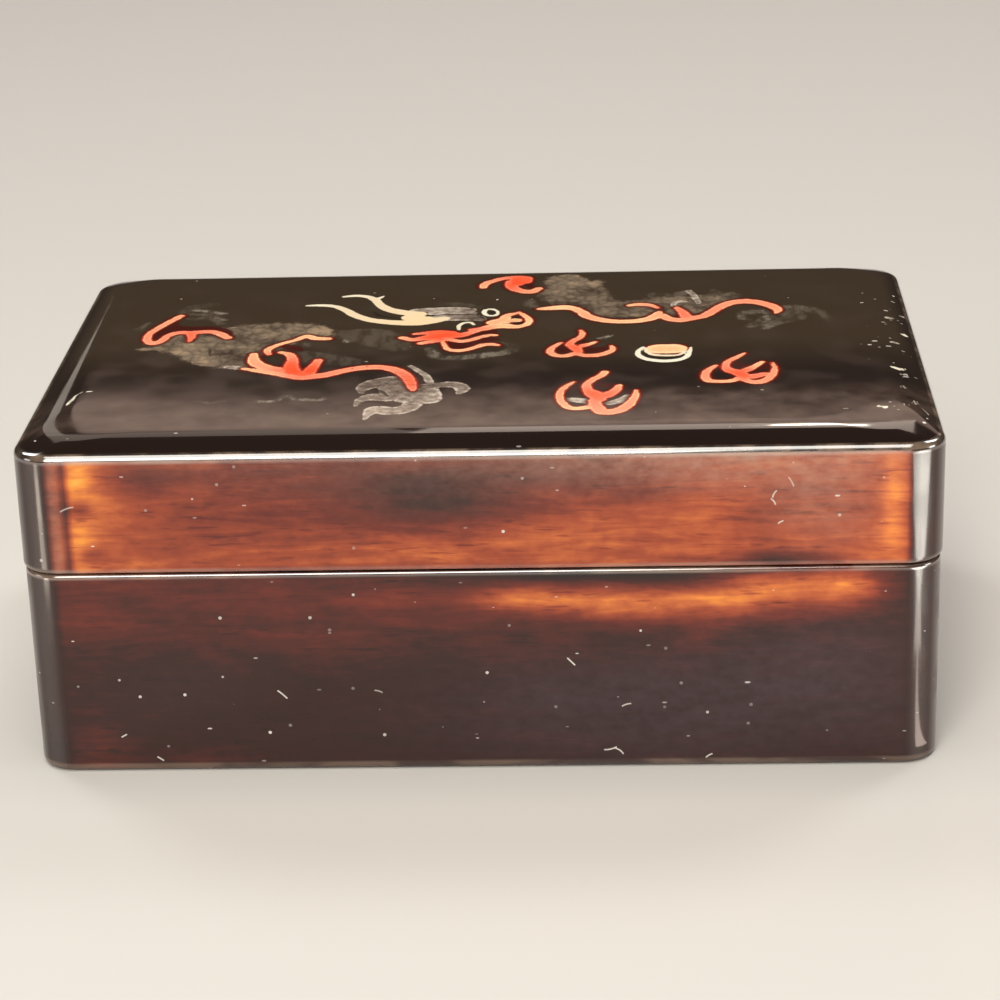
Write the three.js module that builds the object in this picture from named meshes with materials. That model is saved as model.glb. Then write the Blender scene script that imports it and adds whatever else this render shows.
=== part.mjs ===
// A lacquered trinket box with a lift-off lid. Millimetres, +Z up; the origin is the middle of the underside,
// with the width along X and the painted lid's near edge towards -Y.
import * as THREE from "three";
import { mergeVertices } from "three/addons/utils/BufferGeometryUtils.js";

// The closed box from outside.
const BOX_WIDTH = 140;
const BOX_DEPTH = 89;
const BASE_HEIGHT = 33.2;
const LID_WALL_HEIGHT = 19;
const CORNER_RADIUS = 6;

// Thickness of the board it is made of.
const WALL = 3.6;
const FLOOR = 3.4;
const LID_TOP = 3.4;

// The raised panel on the lid, with its sloping border.
const PANEL_RISE = 1.5;
const BORDER_WIDTH = 6.5;
const PANEL_CORNER_RADIUS = 14;
const SHOULDER_SOFTNESS = 3.2;

// Rounded edges.
const RIM_ROUND = 1.1;
const SEAM_ROUND = 0.5;
const FOOT_ROUND = 1.2;
const INNER_ROUND = 2.4;
const LIP_ROUND = 0.4;

// The lip that stands up from the base, and the rebate in the lid that drops over it.
const LID_OVERHANG = 0.25;
const LID_EDGE = 1.8;
const LIP_HEIGHT = 3;
const LIP_SIDE_CLEARANCE = 0.3;
const LIP_TOP_CLEARANCE = 0.4;
const SEAM_GAP = 0.3;

// Finish.
const BASE_COLOUR = 0x3a1a12;
const LID_COLOUR = 0x2c1712;
const LACQUER_ROUGHNESS = 0.18;

// Facets in a quarter turn of a corner, and in an edge's round.
const CORNER_FACETS = 10;
const EDGE_FACETS = 4;
const MIN_CORNER_RADIUS = 0.6;

// A quarter round in a wall's section, from its start direction to its end direction, as [inset, height] points.
function quarterRound(inset, height, radius, fromDegrees, toDegrees) {
  return Array.from({ length: EDGE_FACETS + 1 }, (_, i) => {
    const angle = THREE.MathUtils.degToRad(THREE.MathUtils.lerp(fromDegrees, toDegrees, i / EDGE_FACETS));
    return [inset - radius * Math.cos(angle), height + radius * Math.sin(angle)];
  });
}

// A rounded rectangle at a height, drawn in from the lid's outside by an inset.
function ring([inset, height, cornerRadius = CORNER_RADIUS - inset]) {
  const radius = Math.max(cornerRadius, MIN_CORNER_RADIUS);
  const middleX = BOX_WIDTH / 2 - inset - radius;
  const middleY = BOX_DEPTH / 2 - inset - radius;
  const points = [];
  for (let corner = 0; corner < 4; corner += 1) {
    const signX = corner === 0 || corner === 3 ? 1 : -1;
    const signY = corner < 2 ? 1 : -1;
    for (let i = 0; i <= CORNER_FACETS; i += 1) {
      const angle = ((corner + i / CORNER_FACETS) * Math.PI) / 2;
      points.push([
        signX * middleX + radius * Math.cos(angle),
        signY * middleY + radius * Math.sin(angle),
        height,
      ]);
    }
  }
  return points;
}

// A closed solid from a section that starts on the middle of one flat face and ends on the middle of another.
function solidFromSection(section) {
  const rings = section.map(ring);
  const count = rings[0].length;
  const positions = rings.flat(2);
  const indices = [];
  for (let level = 0; level + 1 < rings.length; level += 1) {
    for (let i = 0; i < count; i += 1) {
      const a = level * count + i;
      const b = level * count + ((i + 1) % count);
      indices.push(a, b, b + count, a, b + count, a + count);
    }
  }
  const first = rings.length * count;
  const last = first + 1;
  positions.push(0, 0, section[0][1], 0, 0, section[section.length - 1][1]);
  for (let i = 0; i < count; i += 1) {
    const next = (i + 1) % count;
    indices.push(first, next, i);
    indices.push(last, (rings.length - 1) * count + i, (rings.length - 1) * count + next);
  }
  const geometry = new THREE.BufferGeometry();
  geometry.setAttribute("position", new THREE.Float32BufferAttribute(positions, 3));
  geometry.setIndex(indices);
  const merged = mergeVertices(geometry);
  merged.computeVertexNormals();
  return merged;
}

// The base: an open box whose inner lip stands above the seam.
function baseSection() {
  const outside = LID_OVERHANG;
  const lipOutside = LID_EDGE + LIP_SIDE_CLEARANCE;
  const lipTop = BASE_HEIGHT + LIP_HEIGHT;
  return [
    ...quarterRound(outside + FOOT_ROUND, FOOT_ROUND, FOOT_ROUND, -90, 0),
    ...quarterRound(outside + SEAM_ROUND, BASE_HEIGHT - SEAM_ROUND, SEAM_ROUND, 0, 90),
    [lipOutside, BASE_HEIGHT],
    ...quarterRound(lipOutside + LIP_ROUND, lipTop - LIP_ROUND, LIP_ROUND, 0, 90),
    ...quarterRound(WALL - LIP_ROUND, lipTop - LIP_ROUND, LIP_ROUND, 90, 180),
    ...quarterRound(WALL + INNER_ROUND, FLOOR + INNER_ROUND, INNER_ROUND, 0, -90),
  ];
}

// The sloping border of the lid's top, softened where it meets the flat panel.
function borderSection(rimHeight) {
  const panelHeight = rimHeight + PANEL_RISE;
  const slopeEnd = BORDER_WIDTH - SHOULDER_SOFTNESS / 2;
  const slope = new THREE.QuadraticBezierCurve(
    new THREE.Vector2(slopeEnd - SHOULDER_SOFTNESS / 2, panelHeight - (PANEL_RISE * SHOULDER_SOFTNESS) / 2 / slopeEnd),
    new THREE.Vector2(slopeEnd, panelHeight),
    new THREE.Vector2(BORDER_WIDTH + SHOULDER_SOFTNESS / 2, panelHeight),
  );
  return slope.getPoints(EDGE_FACETS).map(({ x, y }) => {
    const across = (x - RIM_ROUND) / (BORDER_WIDTH + SHOULDER_SOFTNESS / 2 - RIM_ROUND);
    return [x, y, THREE.MathUtils.lerp(CORNER_RADIUS - RIM_ROUND, PANEL_CORNER_RADIUS, across)];
  });
}

// The lid: a hollow cap with a rebate round the inside of its edge.
function lidSection() {
  const edge = BASE_HEIGHT + SEAM_GAP;
  const rim = edge + LID_WALL_HEIGHT;
  const ceiling = rim + PANEL_RISE - LID_TOP;
  const rebateTop = BASE_HEIGHT + LIP_HEIGHT + LIP_TOP_CLEARANCE;
  return [
    ...quarterRound(WALL + INNER_ROUND, ceiling - INNER_ROUND, INNER_ROUND, 90, 0),
    [WALL, rebateTop],
    [LID_EDGE, rebateTop],
    [LID_EDGE, edge],
    ...quarterRound(SEAM_ROUND, edge + SEAM_ROUND, SEAM_ROUND, -90, 0),
    ...quarterRound(RIM_ROUND, rim - RIM_ROUND, RIM_ROUND, 0, 90),
    ...borderSection(rim),
  ];
}

function lacquered(name, section, colour) {
  const material = new THREE.MeshStandardMaterial({ color: colour, roughness: LACQUER_ROUGHNESS, metalness: 0 });
  const mesh = new THREE.Mesh(solidFromSection(section), material);
  mesh.name = name;
  return mesh;
}

const box = new THREE.Group();
box.add(lacquered("base", baseSection(), BASE_COLOUR));
box.add(lacquered("lid", lidSection(), LID_COLOUR));

export default box;
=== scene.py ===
"""A lacquered trinket box: a hollow base and a lift-off lid with a dragon painted on its raised panel."""

import logging
import math
from dataclasses import dataclass, field
from enum import Enum

import bmesh
import bpy
import numpy as np
from mathutils import Matrix, Quaternion, Vector


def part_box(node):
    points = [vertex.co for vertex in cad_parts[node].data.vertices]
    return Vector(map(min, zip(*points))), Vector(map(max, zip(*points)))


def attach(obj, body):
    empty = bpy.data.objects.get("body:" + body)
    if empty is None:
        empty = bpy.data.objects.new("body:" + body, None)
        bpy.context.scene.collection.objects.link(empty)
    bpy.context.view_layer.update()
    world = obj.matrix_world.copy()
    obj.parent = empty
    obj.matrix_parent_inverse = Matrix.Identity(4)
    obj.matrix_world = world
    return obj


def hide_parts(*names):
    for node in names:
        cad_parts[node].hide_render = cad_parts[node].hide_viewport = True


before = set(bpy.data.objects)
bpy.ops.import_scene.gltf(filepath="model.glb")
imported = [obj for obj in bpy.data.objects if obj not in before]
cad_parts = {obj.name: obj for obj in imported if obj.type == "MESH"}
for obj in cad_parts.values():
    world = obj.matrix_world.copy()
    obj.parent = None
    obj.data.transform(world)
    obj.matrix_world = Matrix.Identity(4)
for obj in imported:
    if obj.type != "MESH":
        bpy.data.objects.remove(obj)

LOG = logging.getLogger("trinket_box")
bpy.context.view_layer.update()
MM = 0.001
TINY = 1e-9
BODY = "root"

# A colour with its cover, and three values along X, Y and Z.
Colour = tuple[float, float, float, float]
Place = tuple[float, float, float]


def rows_of(kind: type, *rows: tuple) -> tuple:
    """A table: one object of the kind for each row of its values."""
    return tuple(kind(*row) for row in rows)


# Sizes shared by the base and the lid, in millimetres.


@dataclass(frozen=True)
class Joinery:
    """The wall, rounds, lip and worn edges that the base and the lid share; the pale colour of the worn edges
    is partly a painted highlight.
    """

    wall: float = 3.6
    floor: float = 3.4
    corner: float = 6.0
    rim_round: float = 1.1
    seam_round: float = 0.5
    foot_round: float = 1.2
    inner_round: float = 2.4
    lip_round: float = 0.4
    lid_edge: float = 1.8
    lip_height: float = 3.0
    lip_side_clearance: float = 0.3
    lip_top_clearance: float = 0.4
    arc_steps: int = 8
    hold: float = 0.4
    min_corner: float = 0.6
    smooth_angle: float = 34.0
    # How worn each edge is; its pale colour there is partly a painted highlight.
    rim_wear_and_sheen: float = 1.0
    foot_wear_and_sheen: float = 0.7
    seam_wear_and_sheen: float = 0.6


class Zone(Enum):
    """The parts of a surface that are finished differently."""

    UNDER = 0.0
    WALL = 1.0
    TOP = 2.0
    INSIDE = 3.0


@dataclass(frozen=True)
class Turn:
    """One turn round the box: how far in from the lid's outside, how high, and how round its corners are."""

    inset: float
    height: float
    corner: float
    zone: Zone
    # How worn the turn's edge is; its pale colour is partly a painted highlight.
    wear_and_sheen: float = 0.0


class Paint(Enum):
    """The paints on the lid, in the order in which they were laid."""

    MIST = "mist"
    BODY = "body"
    MAROON = "maroon"
    CLAW = "claw"
    CINNABAR = "cinnabar"
    IVORY = "ivory"
    INK = "ink"


# One bend of a brush stroke on the panel: its x, y and width in millimetres, and its tint.
Bend = tuple[float, float, float, float]
Stroke = tuple[Bend, ...]


def quarter(inset: float, height: float, radius: float, start: float, end: float, steps: int) -> list[tuple]:
    """Points of a rounded edge's section.

    Args:
        inset: The centre's distance in from the outside.
        height: The centre's height.
        radius: The round's radius.
        start: The first angle in degrees, where 0 faces out and 90 faces up.
        end: The last angle in degrees.
        steps: How many facets the round has.

    Returns:
        (inset, height) pairs from the first angle to the last.
    """
    angles = np.radians(np.linspace(start, end, steps + 1))
    return [(inset - radius * math.cos(a), height + radius * math.sin(a)) for a in angles]


def smooth_line(bends: np.ndarray, step: float) -> np.ndarray:
    """A smooth line through given bends.

    Args:
        bends: One row for each bend, its place first and any other values after.
        step: The distance between the samples returned.

    Returns:
        Rows like those given, close together.
    """
    ends = np.vstack([2 * bends[0] - bends[1], bends, 2 * bends[-1] - bends[-2]])
    rows = []
    for k in range(1, len(ends) - 2):
        before, start, end, after = ends[k - 1 : k + 3]
        slope = end - before
        curve = 2 * before - 5 * start + 4 * end - after
        twist = 3 * start - before - 3 * end + after
        count = max(2, int(np.ceil(np.linalg.norm(end[:2] - start[:2]) / step)))
        for t in np.linspace(0.0, 1.0, count, endpoint=False):
            rows.append(0.5 * (2 * start + slope * t + curve * t**2 + twist * t**3))
    rows.append(bends[-1])
    return np.array(rows)


# The shells.


@dataclass
class Shell:
    """A rounded box half, drawn as a flat face that grows turn by turn round the section of its wall."""

    name: str
    width: float
    depth: float
    cells: tuple[int, int]
    joinery: Joinery = field(default_factory=Joinery)
    corner_share: float = 11.0

    def outline(self, u: np.ndarray, v: np.ndarray, turn: Turn, start: Turn) -> tuple[np.ndarray, np.ndarray]:
        """Places points of the first face's edge on a turn round the box.

        Args:
            u: Places across the width from -1 to 1.
            v: Places across the depth from -1 to 1.
            turn: The turn to place them on.
            start: The first face's own edge, which sets how many points each corner takes.

        Returns:
            The x and y of each point, in millimetres.
        """
        half_x, half_y = self.width / 2 - turn.inset, self.depth / 2 - turn.inset
        radius = max(turn.corner, self.joinery.min_corner)
        keep_u = 1 - self.corner_share / (self.width / 2 - start.inset)
        keep_v = 1 - self.corner_share / (self.depth / 2 - start.inset)
        on_side = np.abs(u) >= np.abs(v)
        eighth = math.pi / 4
        turn_u = np.clip((np.abs(u) - keep_u) / (1 - keep_u), 0, 1)
        turn_v = np.clip((np.abs(v) - keep_v) / (1 - keep_v), 0, 1)
        angle = np.where(on_side, turn_v * eighth, math.pi / 2 - turn_u * eighth)
        straight = np.where(on_side, np.abs(v) <= keep_v, np.abs(u) <= keep_u)
        arc_x = half_x - radius + radius * np.cos(angle)
        arc_y = half_y - radius + radius * np.sin(angle)
        flat_x = np.where(on_side, half_x, np.abs(u) / keep_u * (half_x - radius))
        flat_y = np.where(on_side, np.abs(v) / keep_v * (half_y - radius), half_y)
        x = np.where(straight, flat_x, arc_x) * np.sign(u)
        y = np.where(straight, flat_y, arc_y) * np.sign(v)
        return x, y

    def first_face(self, start: Turn) -> bpy.types.Object:
        """Adds the flat face that the shell grows from, as a grid with rounded corners.

        Args:
            start: The face's edge.

        Returns:
            The new object, in object mode.
        """
        bpy.ops.object.select_all(action="DESELECT")
        cells_x, cells_y = self.cells
        bpy.ops.mesh.primitive_grid_add(x_subdivisions=cells_x, y_subdivisions=cells_y, size=2.0)
        piece = bpy.context.active_object
        piece.name = self.name
        piece.data.name = self.name
        count = len(piece.data.vertices)
        spots = np.zeros(count * 3)
        piece.data.vertices.foreach_get("co", spots)
        spots = spots.reshape(-1, 3)
        reach = np.maximum(np.abs(spots[:, 0]), np.abs(spots[:, 1]))
        scale = np.maximum(reach, TINY)
        x, y = self.outline(spots[:, 0] / scale, spots[:, 1] / scale, start, start)
        placed = np.stack([x * reach, y * reach, np.full(count, start.height)], axis=1) * MM
        store(piece, "place", spots)
        store(piece, "wear_and_sheen", np.zeros(count))
        store(piece, "zone", np.full(count, start.zone.value))
        piece.data.vertices.foreach_set("co", placed.ravel())
        piece.data.update()
        return piece

    def grow(self, piece: bpy.types.Object, turns: list[Turn]) -> None:
        """Extrudes the face's edge round the section and closes it.

        Args:
            piece: The object with the first face.
            turns: The section, from the first face's edge to the edge of the last face.
        """
        bpy.ops.object.mode_set(mode="EDIT")
        bpy.ops.mesh.select_mode(type="VERT")
        bpy.ops.mesh.select_all(action="DESELECT")
        bpy.ops.mesh.select_non_manifold(extend=False)
        for turn in turns[1:]:
            bpy.ops.mesh.extrude_edges_move()
            mesh = bmesh.from_edit_mesh(piece.data)
            place = mesh.verts.layers.float_vector["place"]
            wear_and_sheen, zone = mesh.verts.layers.float["wear_and_sheen"], mesh.verts.layers.float["zone"]
            ring = [v for v in mesh.verts if v.select]
            u, v = np.array([list(vert[place])[:2] for vert in ring]).T
            xs, ys = self.outline(u, v, turn, turns[0])
            for vert, x, y in zip(ring, xs, ys):
                vert.co = (x * MM, y * MM, turn.height * MM)
                vert[wear_and_sheen] = turn.wear_and_sheen
                vert[zone] = turn.zone.value
            bmesh.update_edit_mesh(piece.data)
        bpy.ops.mesh.edge_face_add()
        bpy.ops.mesh.select_all(action="SELECT")
        bpy.ops.mesh.normals_make_consistent(inside=False)
        bpy.ops.mesh.select_all(action="DESELECT")
        bpy.ops.object.mode_set(mode="OBJECT")
        bpy.ops.object.shade_smooth_by_angle(angle=math.radians(self.joinery.smooth_angle))

    def bend(self, points: list[tuple], zone: Zone, wear_and_sheen: float = 0.0) -> list[Turn]:
        """Turns through (inset, height) points of the section, with the box's own corners."""
        return [Turn(x, z, self.joinery.corner - x, zone, wear_and_sheen) for x, z in points]

    def rows(self, top: float, bottom: float, count: int, inset: float) -> list[Turn]:
        """Even turns on a straight outside wall, between its ends."""
        return self.bend([(inset, float(z)) for z in np.linspace(top, bottom, count)], Zone.WALL)

    def dress(self, piece: bpy.types.Object, node: str, slot: str,
              finishes: tuple[bpy.types.Material, ...]) -> None:
        """Gives the piece its finish, the second one on its top, hangs it on the body and hides the CAD part
        it replaces.
        """
        for finish in finishes:
            piece.data.materials.append(finish)
        if len(finishes) > 1:
            zones = values_of(piece, "zone")
            for face in piece.data.polygons:
                face.material_index = int(all(zones[k] == Zone.TOP.value for k in face.vertices))
        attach(piece, BODY)
        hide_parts(node)


def spots_of(piece: bpy.types.Object) -> np.ndarray:
    """The piece's vertices in millimetres, one row each."""
    values = np.zeros(len(piece.data.vertices) * 3)
    piece.data.vertices.foreach_get("co", values)
    return values.reshape(-1, 3) / MM


def values_of(piece: bpy.types.Object, name: str) -> np.ndarray:
    """A value kept on each vertex of the piece."""
    values = np.zeros(len(piece.data.vertices))
    piece.data.attributes[name].data.foreach_get("value", values)
    return values


def store(piece: bpy.types.Object, name: str, values: np.ndarray) -> None:
    """Keeps one value or one vector for each vertex, under a name that a material reads."""
    if values.ndim == 1:
        layer = piece.data.attributes.new(name, "FLOAT", "POINT")
        layer.data.foreach_set("value", values.astype(np.float32))
    else:
        layer = piece.data.attributes.new(name, "FLOAT_VECTOR", "POINT")
        layer.data.foreach_set("vector", values.astype(np.float32).ravel())


# How the lacquer looks on the walls and on the panel.


@dataclass(frozen=True)
class SoftPatch:
    """A soft patch on the front wall, in millimetres: lighter, or darker where its strength is negative."""

    x: float
    z: float
    reach_x: float
    reach_z: float
    strength: float


# Painted light and shade on the lid's walls: patches of positive strength are painted light and reflections,
# those of negative strength painted shade and shadow.
LID_PAINTED_LIGHT = rows_of(
    SoftPatch,
    (-60, 48.8, 3.2, 3.4, 0.3), (-60.2, 38, 3.4, 4.6, 0.26), (-57, 43, 7, 12, 0.1),
    (-59.6, 44.4, 1.8, 1, -0.3), (-57.6, 42.6, 1.6, 0.7, -0.2), (-58.6, 36.4, 2.6, 0.45, -0.6),
    (-61.9, 44, 0.7, 40, -0.34), (-63.6, 44, 1.2, 40, -0.12), (-50, 48.6, 6, 2.6, -0.18),
    (-36, 48.5, 18, 4, -0.1), (-22, 50, 20, 2, -0.08), (-7, 45, 17, 4.6, -0.25), (14, 49, 12, 3, -0.12),
    (-9, 37.4, 14, 2.2, 0.12), (-36, 36, 12, 2.2, 0.03), (10, 36.6, 14, 2, 0.08),
    (17, 39.5, 10, 2.6, 0.1), (34, 41.5, 10, 3, 0.08), (44, 42.8, 5, 1.6, -0.14), (50, 46, 5, 1, -0.12),
    (54, 40, 5, 1, -0.1), (61.8, 44, 1.7, 9, 0.2), (45, 34.5, 8, 0.8, -0.3), (30, 35.2, 6, 0.6, -0.2),
    (-2, 49.6, 16, 2.6, -0.1), (-36, 40, 26, 5, -0.09), (28, 44, 14, 5, -0.07), (2, 41, 18, 4, -0.04),
)
# Pale painted reflections on the lid's walls.
LID_PAINTED_REFLECTION = rows_of(
    SoftPatch,
    (0, 51.6, 60, 1.2, 0.35), (38, 50.5, 24, 3.8, 0.9), (52, 44, 8, 6, 0.6), (16, 50, 20, 3, 0.4),
    (-22, 49, 26, 3, 0.2), (-4, 45, 20, 4, 0.1), (-63.6, 44, 1, 40, 0.7),
)
# The same painted light and shade on the base's walls.
BASE_PAINTED_LIGHT = rows_of(
    SoftPatch,
    (7, 28.8, 9, 2.2, 0.4), (20, 28.2, 9, 2.2, 0.4), (32, 28.4, 8, 2.4, 0.4), (44, 29.4, 8, 2.6, 0.5),
    (55, 30, 6, 2.6, 0.52), (34, 25.6, 22, 1.8, 0.14), (-13, 29, 6, 2, 0.1), (18, 31.9, 11, 0.7, -0.5),
    (33, 29.8, 6, 0.5, -0.34), (37, 30.8, 5, 0.4, -0.3), (28, 27.8, 4, 0.3, -0.2), (-40, 30, 34, 5, 0.1),
    (-60, 26, 8, 7, 0.06), (-30, 24, 26, 6, 0.04), (-60, 4, 5, 5, 0.09), (-46, 2.4, 14, 1.4, 0.05),
    (0, 22, 50, 6, 0.04), (33, 22, 3, 2.4, 0.08),
)
# Painted reflections on the base's walls.
BASE_PAINTED_REFLECTION = rows_of(
    SoftPatch,
    (30, 9, 34, 8, 0.4), (52, 18, 16, 8, 0.26), (20, 14, 24, 5, 0.18), (-46, 14, 14, 5, 0.1),
)


# The lid's right border, where most dust has settled. Its z stands for y.
DUSTY = SoftPatch(65.5, 0, 4.0, 34, 13.0)


def sum_of(patches: tuple[SoftPatch, ...], along: np.ndarray, z: np.ndarray) -> np.ndarray:
    """The patches' soft spots added up at each place along a wall."""
    total = np.zeros(len(z))
    for patch in patches:
        away = ((along - patch.x) / patch.reach_x) ** 2 + ((z - patch.z) / patch.reach_z) ** 2
        total += patch.strength * np.exp(-away)
    return total


@dataclass(frozen=True)
class WallLook:
    """The painted light, shade and reflections on each wall and along the top's front, and where it is dull,
    wavy or dusty.
    """

    painted_light_and_tone: tuple[SoftPatch, ...]
    painted_reflection: tuple[SoftPatch, ...]
    quiet: float
    turn_share: float = 0.45
    blend: float = 1.2
    side_share: float = 0.55
    side_shift: float = 17.0
    corner_shade: float = 0.1
    polish_start: float = 1.3
    polish_end: float = 3.6
    foot_polish: float = 0.2
    corner_polish: float = 0.35
    # A painted reflection along the front of the top's panel: how strong it is, where it starts and stops,
    # and how much less it is at the left.
    front_sheen: float = 0.22
    front_sheen_start: float = -20.0
    front_sheen_reach: float = 6.0
    front_sheen_end: float = -37.4
    front_sheen_left: float = 0.3
    front_sheen_left_reach: float = 45.0
    warm_start: float = 14.0
    warm_reach: float = 16.0
    panel_drop: float = 1.4
    front_share: float = 0.9
    side_stretch: float = 1.1
    most_reflection: float = 1.2
    top_wave: float = 0.02
    wall_wave: float = 0.2
    top_dull: float = 0.05
    wall_dull: float = 0.1
    turn_dull: float = 0.36
    wall_dust: float = 2.6
    top_dust: float = 0.8
    inside_dust: float = 0.2

    def past_flat(self, spots: np.ndarray, width: float, depth: float, corner: float) -> np.ndarray:
        """How far each vertex is past the flat of its wall, round the corner, in millimetres."""
        x, y = np.abs(spots[:, 0]), np.abs(spots[:, 1])
        return np.where(x - width / 2 > y - depth / 2, y - depth / 2 + corner, x - width / 2 + corner)

    def place(self, piece: bpy.types.Object, width: float, depth: float, corner: float) -> None:
        """Stores what the lacquer reads at every vertex: painted light and tone, painted reflection, wave,
        dull, dust and polish.

        Args:
            piece: The base or the lid.
            width: The box's width.
            depth: The box's depth.
            corner: The radius of its corners.
        """
        spots, zones, wear_and_sheen = spots_of(piece), values_of(piece, "zone"), values_of(piece, "wear_and_sheen")
        x, y, z = spots.T
        on_wall, on_top = zones == Zone.WALL.value, zones == Zone.TOP.value
        front = y < -depth / 2 + corner * self.front_share
        along = np.where(np.abs(x) - width / 2 > np.abs(y) - depth / 2, y * np.sign(x), -x)
        along = along * self.side_stretch + self.side_shift
        past = self.past_flat(spots, width, depth, corner)
        flat = np.clip((self.turn_share - past) / self.blend + 0.5, 0, 1)
        turned = np.clip((past - self.polish_start) / self.blend + 0.5, 0, 1) * self.corner_polish
        turned *= np.clip((self.polish_end - past) / self.blend + 0.5, 0, 1)
        # The painted light and shade patches and the painted reflections, summed along each wall.
        painted_light_and_tone, painted_reflection = (np.where(front, sum_of(patches, x, z), self.side_share * sum_of(patches, along, z))
                      for patches in (self.painted_light_and_tone, self.painted_reflection))
        painted_light_and_tone = self.quiet + painted_light_and_tone
        warmed = np.clip((y + self.warm_start) / self.warm_reach, 0, 1)
        warmed = warmed * np.clip(z - z.max() + self.panel_drop, 0, 1)
        # Painted shade: the walls darken towards their rounded corners.
        shown = np.where(on_wall, np.clip(painted_light_and_tone, 0, 1) * flat + self.corner_shade * (1 - flat), on_top * warmed)
        store(piece, "painted_light_and_tone", shown)
        # Painted reflection: the top's panel is paler along its front, less so at the left.
        rubbed_and_sheen = np.clip((self.front_sheen_start - y) / self.front_sheen_reach, 0, 1) * self.front_sheen * (y > self.front_sheen_end)
        rubbed_and_sheen = rubbed_and_sheen * (1 - self.front_sheen_left * np.clip(-x / self.front_sheen_left_reach, 0, 1))
        reflection_shown = np.where(on_wall, np.clip(painted_reflection, 0, self.most_reflection) * flat, np.where(on_top, rubbed_and_sheen, 0.0))
        store(piece, "painted_reflection", reflection_shown)
        store(piece, "wave", np.where(on_top, self.top_wave, self.wall_wave))
        store(piece, "dull", np.where(on_top, self.top_dull, self.wall_dull + turned * self.turn_dull))
        settled = np.where(on_wall, self.wall_dust, self.top_dust)
        shelf = ((x - DUSTY.x) / DUSTY.reach_x) ** 2 + ((y - DUSTY.z) / DUSTY.reach_z) ** 2
        settled += np.where(on_top, DUSTY.strength * np.exp(-shelf), 0.0)
        store(piece, "dust", np.where(zones == Zone.INSIDE.value, self.inside_dust, settled))
        edges = np.where(z < corner / 2, wear_and_sheen * self.foot_polish, wear_and_sheen)
        store(piece, "polish", np.where(on_wall, np.maximum(edges, turned), edges))


# The picture on the lid.

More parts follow.
